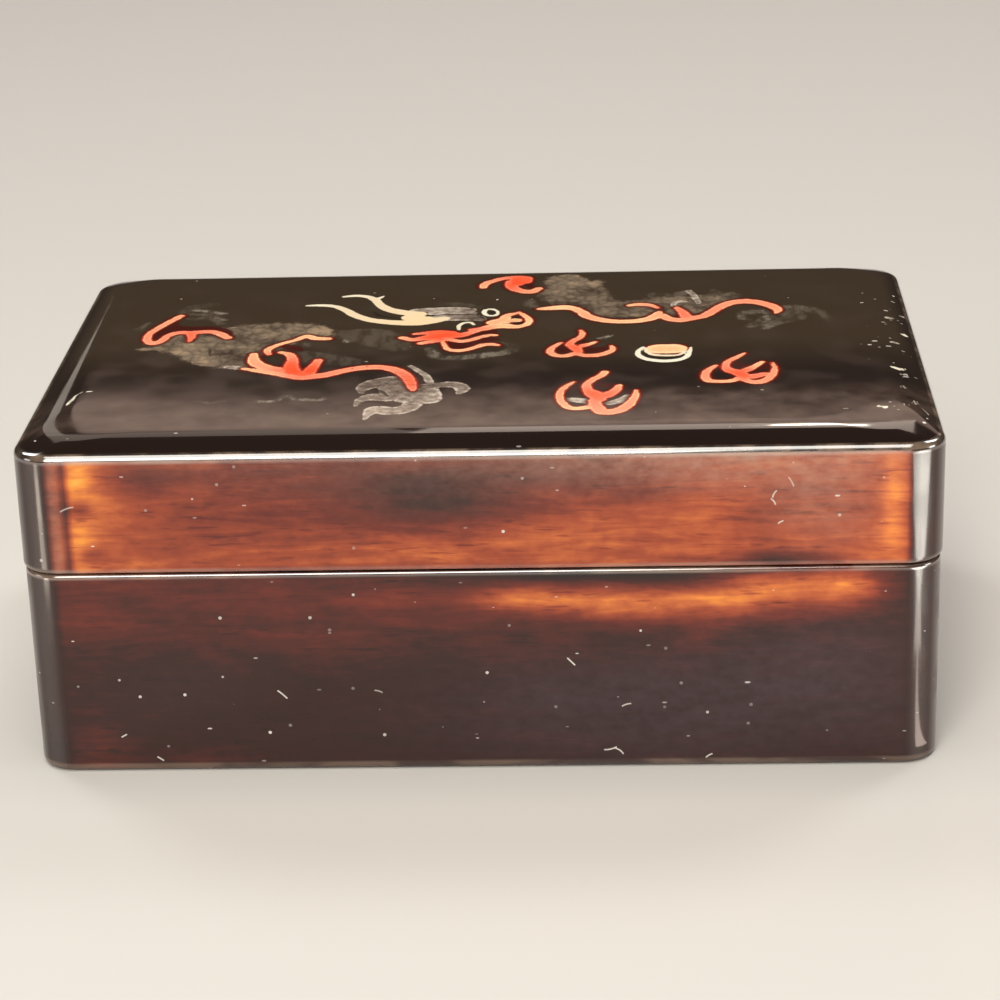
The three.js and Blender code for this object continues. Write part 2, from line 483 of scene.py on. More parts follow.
PICTURE = {
    Paint.MIST: (
        # Mist and leaves behind the dragon.
        ((-52.6, 19, 1.4, 0.3), (-51.2, 22.6, 2.4, 0.3), (-47.6, 24.2, 2, 0.2)),
        ((-51.4, 21.4, 0.9, 0.7), (-48.2, 20.8, 1, 0.8), (-45.4, 19.2, 1.3, 0.9)),
        ((-51, 19.2, 1, 0.5), (-47.8, 18.4, 1.1, 0.6), (-44.8, 15.8, 1.2, 0.6)),
        ((-50.4, 16.6, 1.2, 0.4), (-47.2, 16.8, 1.2, 0.5), (-45, 13.8, 1.4, 0.4)),
        ((-57.4, 14.5, 1, 0.4), (-58.4, 11.5, 1.2, 0.3)),
        ((-23.5, 7, 4.5, 0.2), (-18.6, 5.4, 8, 0.3), (-14.6, 1, 6, 0.2)),
        ((-23.4, 5.6, 0.7, 0.9), (-23.1, 3.2, 0.8, 0.9)),
        ((-29.6, 2.6, 0.7, 0.8), (-29.3, 1.4, 0.8, 0.8)),
        ((-29, -4, 5, 0.2), (-24.5, -6, 5, 0.2), (-20, -7.4, 2.6, 0.2)),
        ((-9.4, -1, 1.2, 0.5), (-8.2, -4.6, 1.8, 0.6), (-5.6, -5.8, 2, 0.5), (-2.4, -5.4, 2, 0.7),
         (0.6, -4.6, 2.4, 0.7), (3.4, -3.4, 2.2, 0.5), (4.4, -0.8, 1.6, 0.3), (2.8, 1.4, 1, 0.3)),
        ((-8.6, -2, 0.6, 0.9), (-7.2, -4.6, 0.6, 0.8)),
        ((-8.5, 22.6, 1.8, 0.2), (-4.6, 21.8, 2, 0.3), (-2.4, 20.6, 1.4, 0.2)),
        ((6.4, 23.5, 1.6, 0.4), (6.6, 21, 1.8, 0.5), (7.6, 19.6, 1.2, 0.5)),
        ((27.8, 25.5, 3, 0.3), (30.6, 24.8, 3.6, 0.3), (33.2, 27.4, 1.4, 0.6)),
        ((37.8, 27.6, 1.4, 0.5), (38.8, 25.4, 2.4, 0.4), (40.6, 26, 1.2, 0.5)),
        ((-34.2, -25.4, 0.8, 0.8), (-31.9, -25.1, 0.9, 0.9), (-30.2, -22.8, 0.8, 0.9),
         (-28.6, -24.4, 0.8, 0.8), (-24.9, -25, 0.8, 0.8), (-24.2, -24.2, 0.5, 0.6)),
        ((-44, -24.8, 0.7, 0.4), (-41.6, -25.6, 0.8, 0.5), (-39.8, -24.9, 0.6, 0.5)),
        ((18.4, 3, 0.9, 0.8), (19.8, 3.8, 0.7, 0.9)),
        # The far foot, faint.
        ((48.8, 17.4, 2.2, 0.7), (51.8, 17.2, 2.8, 0.5), (54.4, 15, 2.2, 0.4), (55.8, 12, 1.2, 0.4),
         (56, 10.2, 0.5, 0.4)),
        ((49.6, 15.4, 4.4, 0.4), (50.6, 12.6, 3.6, 0.4), (48, 10.4, 2.6, 0.4), (46, 8, 2, 0.6),
         (45.4, 6.6, 0.9, 0.6)),
        ((46.4, 14.8, 1.6, 0.9), (44.4, 15.6, 2, 0.5), (42.2, 14.8, 1.8, 0.6), (41.8, 12.6, 1.4, 0.6),
         (42.8, 11.4, 1.2, 0.5)),
        ((46.2, 12.6, 2.2, 0.7), (44.2, 9.2, 2.2, 0.5), (42.8, 7.8, 1.2, 0.5)),
    ),
    Paint.BODY: (
        # The body: one coil at the left, one at the upper right.
        ((-53, 1.2, 1.6, 0.5), (-49.6, 1, 6, 0.6), (-46.4, 0.8, 9.6, 0.6), (-42, 2.2, 14.6, 0.5),
         (-38.4, 4.4, 14, 0.4), (-34.8, 8.2, 9.6, 0.5), (-31.4, 9.6, 7.4, 0.7), (-28.4, 8.4, 5.4, 0.9),
         (-27.2, 6.4, 2.6, 0.9)),
        ((-56.6, 1, 1, 0.9), (-54.4, 1.2, 1.5, 0.8), (-51.6, 0.9, 2.4, 0.7), (-48, 0.4, 5, 0.6)),
        ((-55.6, 4, 1.6, 0.4), (-54, 3.4, 2.6, 0.6), (-51, 5.2, 5.4, 0.7), (-47.6, 5.6, 7.4, 0.6),
         (-43.6, 7.4, 7.6, 0.5), (-39, 9.4, 7, 0.6), (-35, 11.2, 4.6, 0.6)),
        ((-46.4, -3, 5.6, 0.7), (-42.2, -4.4, 8.6, 0.5), (-39.6, -6, 6.8, 0.5), (-37.4, -8, 4, 0.6)),
        ((12.2, 35.2, 6.4, 0.6), (13.2, 30.8, 9.6, 0.6), (14, 26.2, 11.4, 0.4), (16.8, 21.4, 9, 0.3),
         (20.8, 18, 8.6, 0.5), (26, 18.8, 8.6, 0.5), (31, 19.6, 10, 0.6), (35.4, 20.8, 8, 0.5),
         (38.4, 23.4, 5, 0.4), (40.4, 24.6, 2.6, 0.4)),
        ((17.6, 33.6, 2, 0.7), (16.6, 31, 3.6, 0.7)),
    ),
    Paint.MAROON: (
        # Dark red laid under the bright strokes.
        ((-52.9, 14.4, 1.8, 1), (-53.9, 10.6, 3, 1), (-54.9, 7, 1.8, 1)),
        ((-53.2, 12.4, 2.6, 1), (-50.4, 11.4, 2.2, 1), (-46.6, 11.5, 1.8, 1), (-44, 10.2, 1.8, 1),
         (-42.9, 8.2, 1.6, 1)),
        ((-33.2, 1.6, 1.8, 1), (-31.6, 0.6, 2.4, 1), (-30.2, -0.6, 1.2, 1)),
        ((-5.8, 2.2, 1.6, 1), (-4.4, 0.4, 3, 1), (-2.2, 1.4, 2.6, 1), (0.2, 3, 2.2, 1), (1.6, 3.2, 1.2, 1)),
        ((-3.6, 5, 1, 1), (-1.6, 6.4, 1.4, 1), (0.8, 7.2, 1.6, 1)),
        ((11.8, -2.6, 2.6, 1), (13, -3, 2.2, 1)),
        ((16.8, -2.8, 2.6, 1), (19, -2.4, 2, 1)),
        ((14.8, 2.4, 1.6, 1), (16, 1, 1.6, 1)),
        ((40, -11.2, 2.2, 1), (41.4, -11.8, 1.6, 1)),
        ((43.2, -13.6, 1.8, 1), (44.6, -12.4, 1.8, 1)),
        ((17.8, -19.4, 2, 1), (19.6, -20.2, 2, 1)),
        ((6, 33.2, 1.6, 1), (6.4, 31.4, 1.6, 1)),
    ),
    Paint.CLAW: (
        # The near foot.
        ((-13.6, -19.4, 5.4, 0.4), (-12, -22.4, 6.8, 0.5), (-10.2, -24.4, 6, 0.6), (-8, -25.2, 4.4, 0.8)),
        ((-11.6, -16.4, 2.6, 0.3), (-14.6, -16.6, 4, 0.3), (-17.4, -18.2, 3.4, 0.2),
         (-18.6, -20.4, 1.8, 0.3), (-18.5, -22.2, 0.7, 0.4)),
        ((-12.4, -24.4, 3, 0.6), (-15, -24.2, 3.4, 0.5), (-17.3, -24.2, 2.6, 0.5), (-18.7, -26, 1.4, 0.6),
         (-19, -28, 0.5, 0.6)),
        ((-10, -26.6, 3, 0.6), (-11, -29.4, 3.2, 0.6), (-13.2, -30.6, 3.2, 0.7), (-15.8, -29.8, 3, 0.8),
         (-16.8, -31.8, 1.5, 0.8), (-17.1, -34, 0.5, 0.7)),
        ((-9.4, -19.8, 2.6, 0.4), (-6.4, -18.8, 2.4, 0.4), (-4, -19, 2.6, 0.5), (-2.9, -20.8, 2.3, 0.6),
         (-3.3, -22.8, 1.1, 0.6)),
        ((-8.4, -21.8, 4, 0.5), (-7.2, -24.2, 2.6, 0.8), (-7.9, -26.5, 1.8, 0.9)),
        ((-11.8, -9.6, 0.8, 0.6), (-9.4, -13.4, 1.1, 0.7), (-8.3, -17, 1.2, 0.7), (-8, -19.6, 1.2, 0.5)),
        # Hair of the brow and mane, and pale tufts by the coils and the flames.
        ((-12.6, 19, 2.2, 0.7), (-9.4, 19.3, 2.6, 0.8), (-5.6, 19.3, 2.6, 0.7), (-3.3, 18.9, 2, 0.5)),
        ((-9.8, 17.6, 1.8, 0.9), (-6.2, 17.9, 1.8, 0.8), (-2.8, 17.2, 1.4, 0.5)),
        ((-8.4, 15, 3.2, 0.8), (-5, 15.2, 3.4, 0.5), (-2.2, 14.6, 2.6, 0.3), (-1.2, 13.6, 1.4, 0.3)),
        ((13.4, -26.4, 1.4, 0.9), (15.4, -27, 2, 1), (16.8, -27.8, 1.4, 0.8)),
        ((22.8, -25, 1, 0.9), (21.8, -27.2, 1.8, 0.9), (20, -28.4, 1.6, 0.8)),
        ((30.9, 18.6, 0.8, 0.8), (30.6, 20.4, 0.9, 0.9), (31.4, 21.8, 1, 1), (32.8, 21.8, 0.9, 0.9)),
        ((33.4, 27.6, 1, 0.6), (34, 26, 1.1, 0.7), (34.5, 23.2, 1, 0.7), (34.9, 20.8, 0.8, 0.6)),
        ((-41, -8.6, 1.4, 0.7), (-38.6, -9.4, 1.5, 0.9)),
        # Specks of dirt along the right border.
        ((68.4, 15.2, 0.9, 0.8), (68.7, 15.4, 0.9, 0.8)),
        ((65.7, 12.1, 0.9, 0.8), (66.5, 12.2, 0.6, 0.8)),
        ((65.4, -0.8, 0.8, 0.8), (66.2, -1, 0.6, 0.8)),
        ((67.2, -5.9, 0.9, 0.9), (67.5, -5.8, 0.9, 0.9)),
        ((65, -22.5, 1, 0.8), (65.3, -22.6, 1, 0.8)),
        ((66.2, -29.6, 0.9, 0.9), (66.4, -28.8, 0.9, 0.9)),
        ((64.6, -30.8, 0.8, 0.7), (64.9, -30.8, 0.8, 0.7)),
        ((67.4, -33, 0.8, 0.9), (67.7, -32.8, 0.8, 0.9)),
    ),
    Paint.CINNABAR: (
        # The tail hook and the belly plates of the left coil.
        ((-52.3, 18.3, 1.5, 0.78), (-53.6, 15.6, 1.6, 0.74), (-55.2, 12, 1.5, 0.7), (-56.3, 8.6, 1.5, 0.62),
         (-56.1, 5.4, 1.7, 0.62), (-54.9, 3.8, 1.7, 0.7), (-53.7, 5.2, 1.6, 0.62), (-53, 7.8, 1.6, 0.6),
         (-51.5, 9.3, 1.8, 0.56), (-49.6, 9.2, 1.9, 0.4), (-48.1, 9.4, 1.9, 0.44), (-46.2, 9.6, 1.9, 0.6),
         (-44.5, 8.4, 1.9, 0.66), (-42.9, 6.2, 1.7, 0.72)),
        ((-49.3, 8.8, 2.2, 0.34), (-49, 6.8, 1.5, 0.36), (-49.1, 4.6, 0.6, 0.42)),
        ((-26.2, 4.9, 1.6, 0.9), (-28.2, 5.2, 1.9, 0.92), (-29.9, 6.4, 1.6, 0.9), (-31.1, 4.9, 1.4, 0.9),
         (-32.6, 3.6, 1.2, 0.92), (-34, 2.2, 1.2, 0.9), (-35.1, 0.8, 1.4, 0.84), (-35.6, -0.8, 1.4, 0.8),
         (-35.1, -2.6, 1, 0.6)),
        ((-37.6, -2.4, 1.4, 0.86), (-37.4, -4.8, 2.2, 0.8), (-36.6, -7.2, 2.8, 0.76),
         (-34.6, -9.4, 2.8, 0.7), (-32.6, -10.6, 2.8, 0.44)),
        ((-38.4, -9.6, 1.1, 0.88), (-35.6, -10.9, 1.7, 0.84), (-33, -12.1, 2.1, 0.78),
         (-31, -13.1, 2.6, 0.58), (-29, -14.1, 2.8, 0.5), (-27, -13.9, 2.7, 0.5), (-24.8, -13.1, 2.6, 0.56),
         (-22.7, -11.6, 2.4, 0.6), (-20.5, -10.4, 2.4, 0.62), (-18, -9.8, 2.4, 0.62),
         (-15.6, -10.2, 2.4, 0.6), (-13.6, -11.8, 2.5, 0.52), (-12.2, -14.2, 2.4, 0.36),
         (-11.3, -17, 2.1, 0.26), (-10.8, -19.6, 1.7, 0.4), (-10.6, -21.2, 0.8, 0.6)),
        ((-33.4, -1.7, 1.1, 0.86), (-31.8, -2.8, 1.7, 0.7), (-31, -5.2, 2, 0.46), (-30.9, -8.2, 2.8, 0.18),
         (-30.4, -11.4, 3.4, 0.08), (-29, -12.8, 2.8, 0.2)),
        ((-26.8, -6, 1.7, 0.56), (-27.1, -8.2, 1.9, 0.32), (-27.6, -10.8, 2.6, 0.08),
         (-28, -12.6, 2.8, 0.2)),
        # The mane and jaws.
        ((-14, 4.8, 1.6, 0.84), (-12.2, 3.7, 1.8, 0.62), (-10.2, 4.5, 2.6, 0.22), (-8, 5.2, 3.8, 0.06),
         (-6, 5.7, 3.4, 0.12), (-4.2, 5.8, 2.4, 0.26), (-3, 6.8, 1.7, 0.5), (-1.7, 8, 1.4, 0.66)),
        ((-12.1, 6.6, 1, 0.62), (-10.2, 7.1, 1.5, 0.3), (-8, 7.5, 2, 0.18), (-6, 7, 2, 0.16)),
        ((-10.8, 1.8, 1.5, 0.78), (-9, 2.6, 1.8, 0.52), (-7.6, 3.8, 2, 0.2)),
        ((-7.2, 4.6, 2, 0.4), (-5.7, 3.2, 1.6, 0.62), (-4.2, 2.5, 1.5, 0.76), (-2.6, 3.2, 1.5, 0.72),
         (-1.2, 4.5, 1.4, 0.76), (0.2, 5.4, 1.3, 0.8), (1.3, 5.3, 0.9, 0.86)),
        ((-7.4, 3.2, 0.9, 0.6), (-6.9, 1, 0.9, 0.8), (-6.3, -1.2, 1.1, 0.86), (-5, -2.2, 1.4, 0.86),
         (-3.4, -2, 1.4, 0.86), (-1.9, -0.8, 1.4, 0.84), (-0.6, 0.5, 1.5, 0.8), (0.9, 0.7, 1.5, 0.8),
         (1.9, 0.2, 0.9, 0.82)),
        ((-2.8, 8.4, 1.4, 0.5), (-0.8, 8.9, 2.4, 0.6), (0.8, 10, 2.8, 0.86), (2.6, 10.2, 2.8, 0.94),
         (4.6, 9.6, 1.8, 0.9), (6.2, 10.8, 1.5, 0.96), (6.6, 13, 1.4, 0.96), (5.8, 15.4, 1.2, 0.88),
         (4.7, 17.4, 0.8, 0.8)),
        ((0.8, 12, 3.2, 0.84), (2.2, 13.4, 2.6, 0.86), (3, 15.8, 1.8, 0.84), (4.3, 16.8, 1.1, 0.78)),
        ((3.2, 12.6, 2.4, 0.88), (4.4, 13, 2.4, 0.86)),
        # The crest and the belly plates of the right coil.
        ((-1.8, 31.6, 1.5, 0.84), (-1.6, 33.4, 1.8, 0.76), (-0.2, 35.2, 1.8, 0.7), (1.8, 36.7, 1.9, 0.5),
         (4, 37.2, 2.2, 0.28), (5.6, 36.4, 2.2, 0.24), (5.4, 34.4, 2.4, 0.16)),
        ((3.9, 36, 3, 0.14), (3.8, 33.8, 3.8, 0.08)),
        ((2.6, 34.6, 1.6, 0.4), (2.9, 32.8, 2.4, 0.26), (3.4, 30.9, 2.4, 0.34), (4.8, 29.2, 2.3, 0.62),
         (6.6, 28.7, 2.3, 0.72), (7.8, 30.4, 1.6, 0.76)),
        ((8.1, 19, 1.2, 0.9), (9.6, 19.2, 2.1, 0.96), (12, 19.6, 2.8, 1), (13.8, 19, 2.4, 0.94),
         (15.2, 17, 2.2, 0.84), (16.4, 14.5, 2.4, 0.8), (18.4, 12.6, 2.4, 0.86), (21, 11.6, 2.2, 0.92),
         (24, 11.6, 2.2, 0.96), (26.4, 12.6, 2.4, 0.9), (27.8, 14.6, 2.4, 0.84), (28.2, 16.2, 1.2, 0.8)),
        ((28.5, 14.6, 2, 0.8), (29.8, 12.5, 2.2, 0.76), (31.6, 11.8, 2.4, 0.7), (33.6, 12.7, 2.4, 0.66),
         (35.5, 13.8, 2.2, 0.66), (37, 16, 2.2, 0.62), (38.6, 18.8, 2.3, 0.66), (40.4, 20.7, 2.5, 0.68),
         (42.8, 21.4, 2.8, 0.66), (45.2, 20.4, 2.5, 0.66), (47.1, 18.4, 2.4, 0.66), (47.9, 16.4, 1.9, 0.76),
         (47.6, 14.8, 0.8, 0.82)),
        ((23.3, 20.1, 1.3, 0.88), (24.8, 20.6, 1.8, 0.82), (26.6, 20.1, 1.6, 0.76), (28, 18.6, 1, 0.7)),
        ((31.1, 18.6, 1, 0.6), (32, 16.4, 1.8, 0.46), (32.6, 13.8, 2.4, 0.44)),
        # Three flames.
        ((12.1, 1, 0.7, 0.76), (10.8, -1.2, 1.2, 0.72), (10.4, -3.6, 1.5, 0.72), (11.4, -5.4, 1.5, 0.76),
         (13, -5.6, 1.6, 0.76), (14.4, -4.6, 1.6, 0.6)),
        ((20.2, -0.9, 0.6, 0.8), (20.5, -2.6, 1.1, 0.8), (19.6, -4.4, 1.5, 0.76), (17.8, -5.6, 1.8, 0.7),
         (16, -5.6, 1.6, 0.66), (14.8, -4.6, 1.4, 0.6)),
        ((15.2, 7.3, 0.7, 0.8), (15.5, 5.4, 1.1, 0.74), (15.1, 3.4, 1.3, 0.66), (13.9, 1.6, 1.5, 0.5),
         (13.5, -0.2, 1.6, 0.4), (14.4, -1.8, 2.2, 0.28), (15, -3.8, 1.6, 0.34)),
        ((17.7, 1.2, 0.7, 0.92), (16.8, 0.1, 1.2, 0.84), (15.6, -0.7, 1.8, 0.4)),
        ((14.4, -18.4, 0.6, 0.86), (13.2, -20.4, 1.2, 0.76), (12.4, -23, 1.3, 0.7),
         (12.3, -25.8, 1.4, 0.72), (12.9, -28.4, 1.5, 0.76), (13.9, -30.3, 1.6, 0.88),
         (15.4, -30.6, 1.7, 0.94), (16.8, -30, 1.6, 0.8)),
        ((19.2, -13.9, 1.5, 0.84), (18.6, -15.6, 1.6, 0.78), (17.2, -17.6, 1.5, 0.7), (16.4, -20, 1.6, 0.6),
         (16.7, -22.6, 2.2, 0.38), (17.7, -24.4, 3.4, 0.28), (18.4, -26.6, 2.6, 0.36)),
        ((21.4, -20.4, 1.2, 0.82), (21, -22.4, 1.8, 0.56), (19.8, -24.4, 2.6, 0.36),
         (18.6, -25.6, 2.4, 0.36)),
        ((17.6, -27.4, 2.2, 0.48), (18, -30, 2.6, 0.56), (18.9, -32.2, 2.8, 0.66), (20.6, -32.2, 2.6, 0.7),
         (22.2, -30.6, 2.4, 0.66), (23.3, -28, 1.8, 0.7), (23.9, -25.2, 1.4, 0.76),
         (24.1, -22.6, 0.6, 0.82)),
        ((36.7, -11.6, 0.8, 0.76), (35.4, -13.8, 1.4, 0.66), (34.9, -16.2, 1.6, 0.62),
         (35.3, -18.6, 1.7, 0.76), (37.2, -19.2, 1.5, 0.86), (39.2, -18.8, 1.5, 0.84),
         (40.3, -17.6, 1.6, 0.5)),
        ((41.5, -5.8, 0.6, 0.86), (40.2, -7.6, 1.1, 0.76), (38.8, -9.6, 1.3, 0.62), (38.2, -12, 1.5, 0.5),
         (38.8, -14, 2.2, 0.34), (40.2, -15.2, 2.8, 0.18), (40.8, -16.8, 2.4, 0.24)),
        ((44.1, -10.2, 1, 0.94), (42.8, -12.2, 1.4, 0.82), (41.6, -13.8, 2, 0.38)),
        ((45.6, -10.6, 0.6, 0.76), (45.9, -13, 1, 0.7), (45.5, -15.8, 1.4, 0.66), (44.6, -18.2, 1.8, 0.66),
         (43.2, -19.7, 2, 0.7), (41.6, -19.2, 1.8, 0.66), (40.8, -17.8, 1.6, 0.4)),
        ((44.2, -16, 1.8, 0.5), (42.4, -17, 2.4, 0.4)),
        # The pearl's core.
        ((28, -3, 5.4, 0.93), (30.2, -3, 5.4, 0.95)),
    ),
    Paint.IVORY: (
        # Horns, brow, eyes and the pearl's shell.
        ((-25.5, 27.6, 1, 0.8), (-23.4, 28, 1.5, 0.8), (-21.3, 27.2, 1.7, 0.6), (-19.9, 25.2, 2, 0.42),
         (-18.9, 22.6, 2.2, 0.36), (-17.4, 20.2, 2.6, 0.34), (-15, 18.4, 3, 0.3), (-12, 17.2, 3.4, 0.2)),
        ((-19.8, 25.8, 1.4, 0.6), (-18.7, 27.5, 0.5, 0.8)),
        ((-31.4, 22.9, 0.9, 0.8), (-28.9, 22.9, 1.5, 0.8), (-26.6, 22.2, 1.7, 0.6), (-24.6, 20, 2, 0.42),
         (-22.8, 17.2, 2.3, 0.36), (-20.4, 14.8, 2.5, 0.34), (-17.6, 13.4, 2.8, 0.3),
         (-14.6, 12.7, 3.2, 0.22), (-11.8, 12.9, 4.2, 0.12), (-9.2, 13.8, 3.6, 0.26),
         (-7.6, 14.6, 2.4, 0.4)),
        ((-13.6, 15.4, 3.4, 0.2), (-10.6, 14.8, 3, 0.14)),
        ((-4.9, 8.5, 0.7, 0.6), (-5, 10.6, 0.9, 0.7), (-4.2, 12.1, 0.9, 0.8), (-3.1, 12.2, 0.8, 0.7),
         (-2.5, 11, 0.7, 0.6)),
        ((-0.9, 18.9, 1.1, 0.9), (-1.1, 17.4, 1.1, 1), (-0.4, 15.9, 0.9, 0.9), (0.8, 15.8, 0.8, 0.8),
         (1.3, 17.2, 0.7, 0.8), (0.7, 18.9, 0.8, 0.8), (-0.3, 19.4, 0.8, 0.9)),
        ((25.4, -1.9, 0.7, 0.9), (24.5, -4, 1, 0.9), (24.7, -6.2, 1.3, 0.9), (26, -8, 1.5, 0.95),
         (28.2, -8.9, 1.6, 1), (30.4, -8.7, 1.5, 1), (32, -7.4, 1.3, 0.95), (32.7, -5, 1, 0.9),
         (33, -2.4, 0.6, 0.8)),
        ((25.7, -2.4, 0.8, 0.6), (25.9, -4.2, 0.9, 0.6), (27, -5.8, 1.1, 0.5), (29, -6.3, 1, 0.5),
         (31, -6, 0.9, 0.5), (32, -4.4, 0.8, 0.6)),
        # A chip, two scratches and the specks of dirt along the right border.
        ((61, -31.8, 1.9, 1), (61.3, -31.8, 1.9, 1)),
        ((-62.9, -19.7, 0.5, 1), (-61.2, -19.4, 0.45, 1)),
        ((-63.4, -21.2, 0.5, 1), (-64, -25.4, 0.8, 1)),
        ((67.6, 5.2, 1.5, 0.9), (68, 4.8, 1.3, 0.9)),
        ((64.2, -13.2, 0.8, 0.8), (65.4, -14.2, 1.2, 0.9), (66.2, -13.6, 0.7, 0.8)),
        ((65, -16.4, 0.6, 0.7), (66.4, -16.8, 0.6, 0.7)),
    ),
    Paint.INK: (
        # Dark lines that part the forms.
        ((-18.1, -21.6, 0.6, 1), (-15.9, -21.1, 0.9, 1), (-14.3, -23.8, 0.5, 1)),
        ((-18.4, -26.6, 0.7, 1), (-16.2, -26.1, 0.9, 1), (-14.2, -27.5, 0.8, 1), (-12.6, -27.5, 0.4, 1)),
        ((-10.8, 15.9, 0.4, 1), (-8, 16.6, 0.6, 1), (-4.6, 16.6, 0.6, 1), (-2.2, 16, 0.5, 1),
         (-0.9, 14.4, 0.6, 1)),
        ((-19.8, 18.9, 0.5, 1), (-18.6, 16.7, 0.7, 1), (-16.6, 15.6, 0.6, 1), (-14.8, 15.2, 0.3, 1)),
        ((-3.9, 10.3, 1.2, 1), (-3.4, 10.3, 1.2, 1)),
        ((0.3, 17.6, 1.1, 1), (0.3, 17, 1, 1)),
        ((25.3, -4.4, 0.4, 1), (26.6, -6.8, 0.6, 1), (29, -7.5, 0.6, 1), (31.2, -7.1, 0.5, 1)),
        ((3.8, 11.8, 0.9, 1), (5.2, 11.7, 1, 1)),
        ((3.6, 15.2, 0.6, 1), (4.7, 14.3, 0.8, 1)),
        ((-45.2, 0.6, 0.4, 1), (-44.6, -3, 0.5, 1)),
        ((-36.2, -3.2, 0.5, 0.6), (-35.4, -5.6, 0.7, 0.6), (-34.6, -7.6, 0.5, 0.6)),
        ((-12.9, -14.3, 0.3, 0), (-11.2, -14.9, 0.3, 0)),
        ((-12.2, -16.5, 0.3, 0), (-10.5, -16.9, 0.3, 0)),
        ((-11.7, -18.5, 0.3, 0), (-10.1, -18.7, 0.3, 0)),
        ((-14, -12.6, 0.3, 0), (-12.7, -13.2, 0.3, 0)),
        ((-16.3, -9.4, 0.3, 0), (-16.7, -10.2, 0.3, 0)),
        ((-18.6, -9, 0.3, 0), (-18.8, -9.8, 0.3, 0)),
        ((-20.8, -9.6, 0.3, 0), (-21, -10.5, 0.3, 0)),
    ),
}


# The distance between the samples of a stroke, how far past it its distance is worked out, and the thinnest
# half width, in millimetres.
STROKE_STEP = 0.45
FIELD_REACH = 4.0
HAIR = 0.05
# What an unpainted place holds: how far in from a stroke, its tint, and the place across it.
BARE = np.array([-FIELD_REACH, 0.5, 0.0])


def paint_field(strokes: tuple[Stroke, ...], spots: np.ndarray, thin: float) -> np.ndarray:
    """Where one paint lies on the panel.

    Args:
        strokes: The strokes in that paint.
        spots: The panel's vertices, x and y in millimetres.
        thin: The share of each stroke's drawn width to keep.

    Returns:
        For each vertex the distance in from the stroke's edge in millimetres, negative outside, the
        stroke's tint, and the place across the stroke from -1 to 1.
    """
    field_of = np.tile(BARE, (len(spots), 1))
    for stroke in strokes:
        line = smooth_line(np.array(stroke), STROKE_STEP)
        reach = FIELD_REACH + line[:, 2].max() / 2
        low, high = line[:, :2].min(0) - reach, line[:, :2].max(0) + reach
        near = np.nonzero(np.all((spots >= low) & (spots <= high), axis=1))[0]
        start, along = line[:-1], np.diff(line, axis=0)
        for a, run in zip(start, along):
            offset = spots[near] - a[:2]
            length = max(float(run[:2] @ run[:2]), TINY)
            t = np.clip(offset @ run[:2] / length, 0, 1)
            away = offset - t[:, None] * run[:2]
            half = np.maximum((a[2] + t * run[2]) * thin / 2, HAIR)
            inside = half - np.hypot(away[:, 0], away[:, 1])
            side = np.sign(run[0] * offset[:, 1] - run[1] * offset[:, 0])
            better = inside > field_of[near, 0]
            rows = near[better]
            field_of[rows, 0] = inside[better]
            field_of[rows, 1] = (a[3] + t * run[3])[better]
            field_of[rows, 2] = (side * (1 - inside / half))[better]
    return field_of


# Finishes.


class Grain(Enum):
    """The lacquer's noises: cells to the metre on each axis, scale, detail, roughness, warp and turn."""

    CLOUDS = ((60, 60, 150), 1.0, 2.0, 0.6, 0.8, 0.0)
    STREAKS = ((50, 50, 430), 1.0, 4.0, 0.62, 1.5, 0.0)
    PORES = ((170, 170, 1500), 1.0, 1.0, 0.6, 0.0, 0.0)
    MOTTLE = ((380, 380, 620), 1.0, 2.0, 0.65, 0.0, 0.0)
    DRIFT = ((190, 190, 1), 1.0, 2.0, 0.65, 0.0, 0.0)
    WISPS = ((520, 170, 1), 1.0, 2.0, 0.65, 0.0, 0.3)
    SCRATCHES = ((90, 1900, 1900), 1.0, 1.0, 0.5, 0.0, 0.1)
    COARSE = ((1, 1, 1), 800.0, 2.0, 0.5, 0.0, 0.0)
    FINE = ((1, 1, 1), 2300.0, 1.0, 0.5, 0.0, 0.0)
    WAVES = ((1, 1, 1), 60.0, 1.0, 0.5, 0.0, 0.0)
    PATCHES = ((1, 1, 1), 130.0, 1.0, 0.5, 0.0, 0.0)


class Step(Enum):
    """The lacquer's smooth steps: where each starts and ends, and its values there."""

    THREAD = (0.07, 0.15, 1.0, 0.0)
    SCRATCH = (0.66, 0.74, 0.0, 1.0)
    PORES = (0.63, 0.75, 0.0, 0.26)
    # The worn edges' pale colour, partly a painted highlight, comes and goes along them.
    WEAR_AND_SHEEN = (0.42, 0.66, 0.05, 0.4)
    DULL = (0.4, 0.7, 1.0, 1.8)
    SCALES = (0.0, 0.3, -0.15, 0.05)
    WISPS = (0.36, 0.62, 0.16, 1.0)
    HALO = (-1.2, -0.2, 0.0, 0.9)
    OUTLINE = (-0.42, -0.1, 0.0, 0.85)
    CINNABAR_EDGE = (0.4, 1.0, -0.02, 0.2)
    CLAW_EDGE = (0.5, 1.0, -0.1, 0.3)


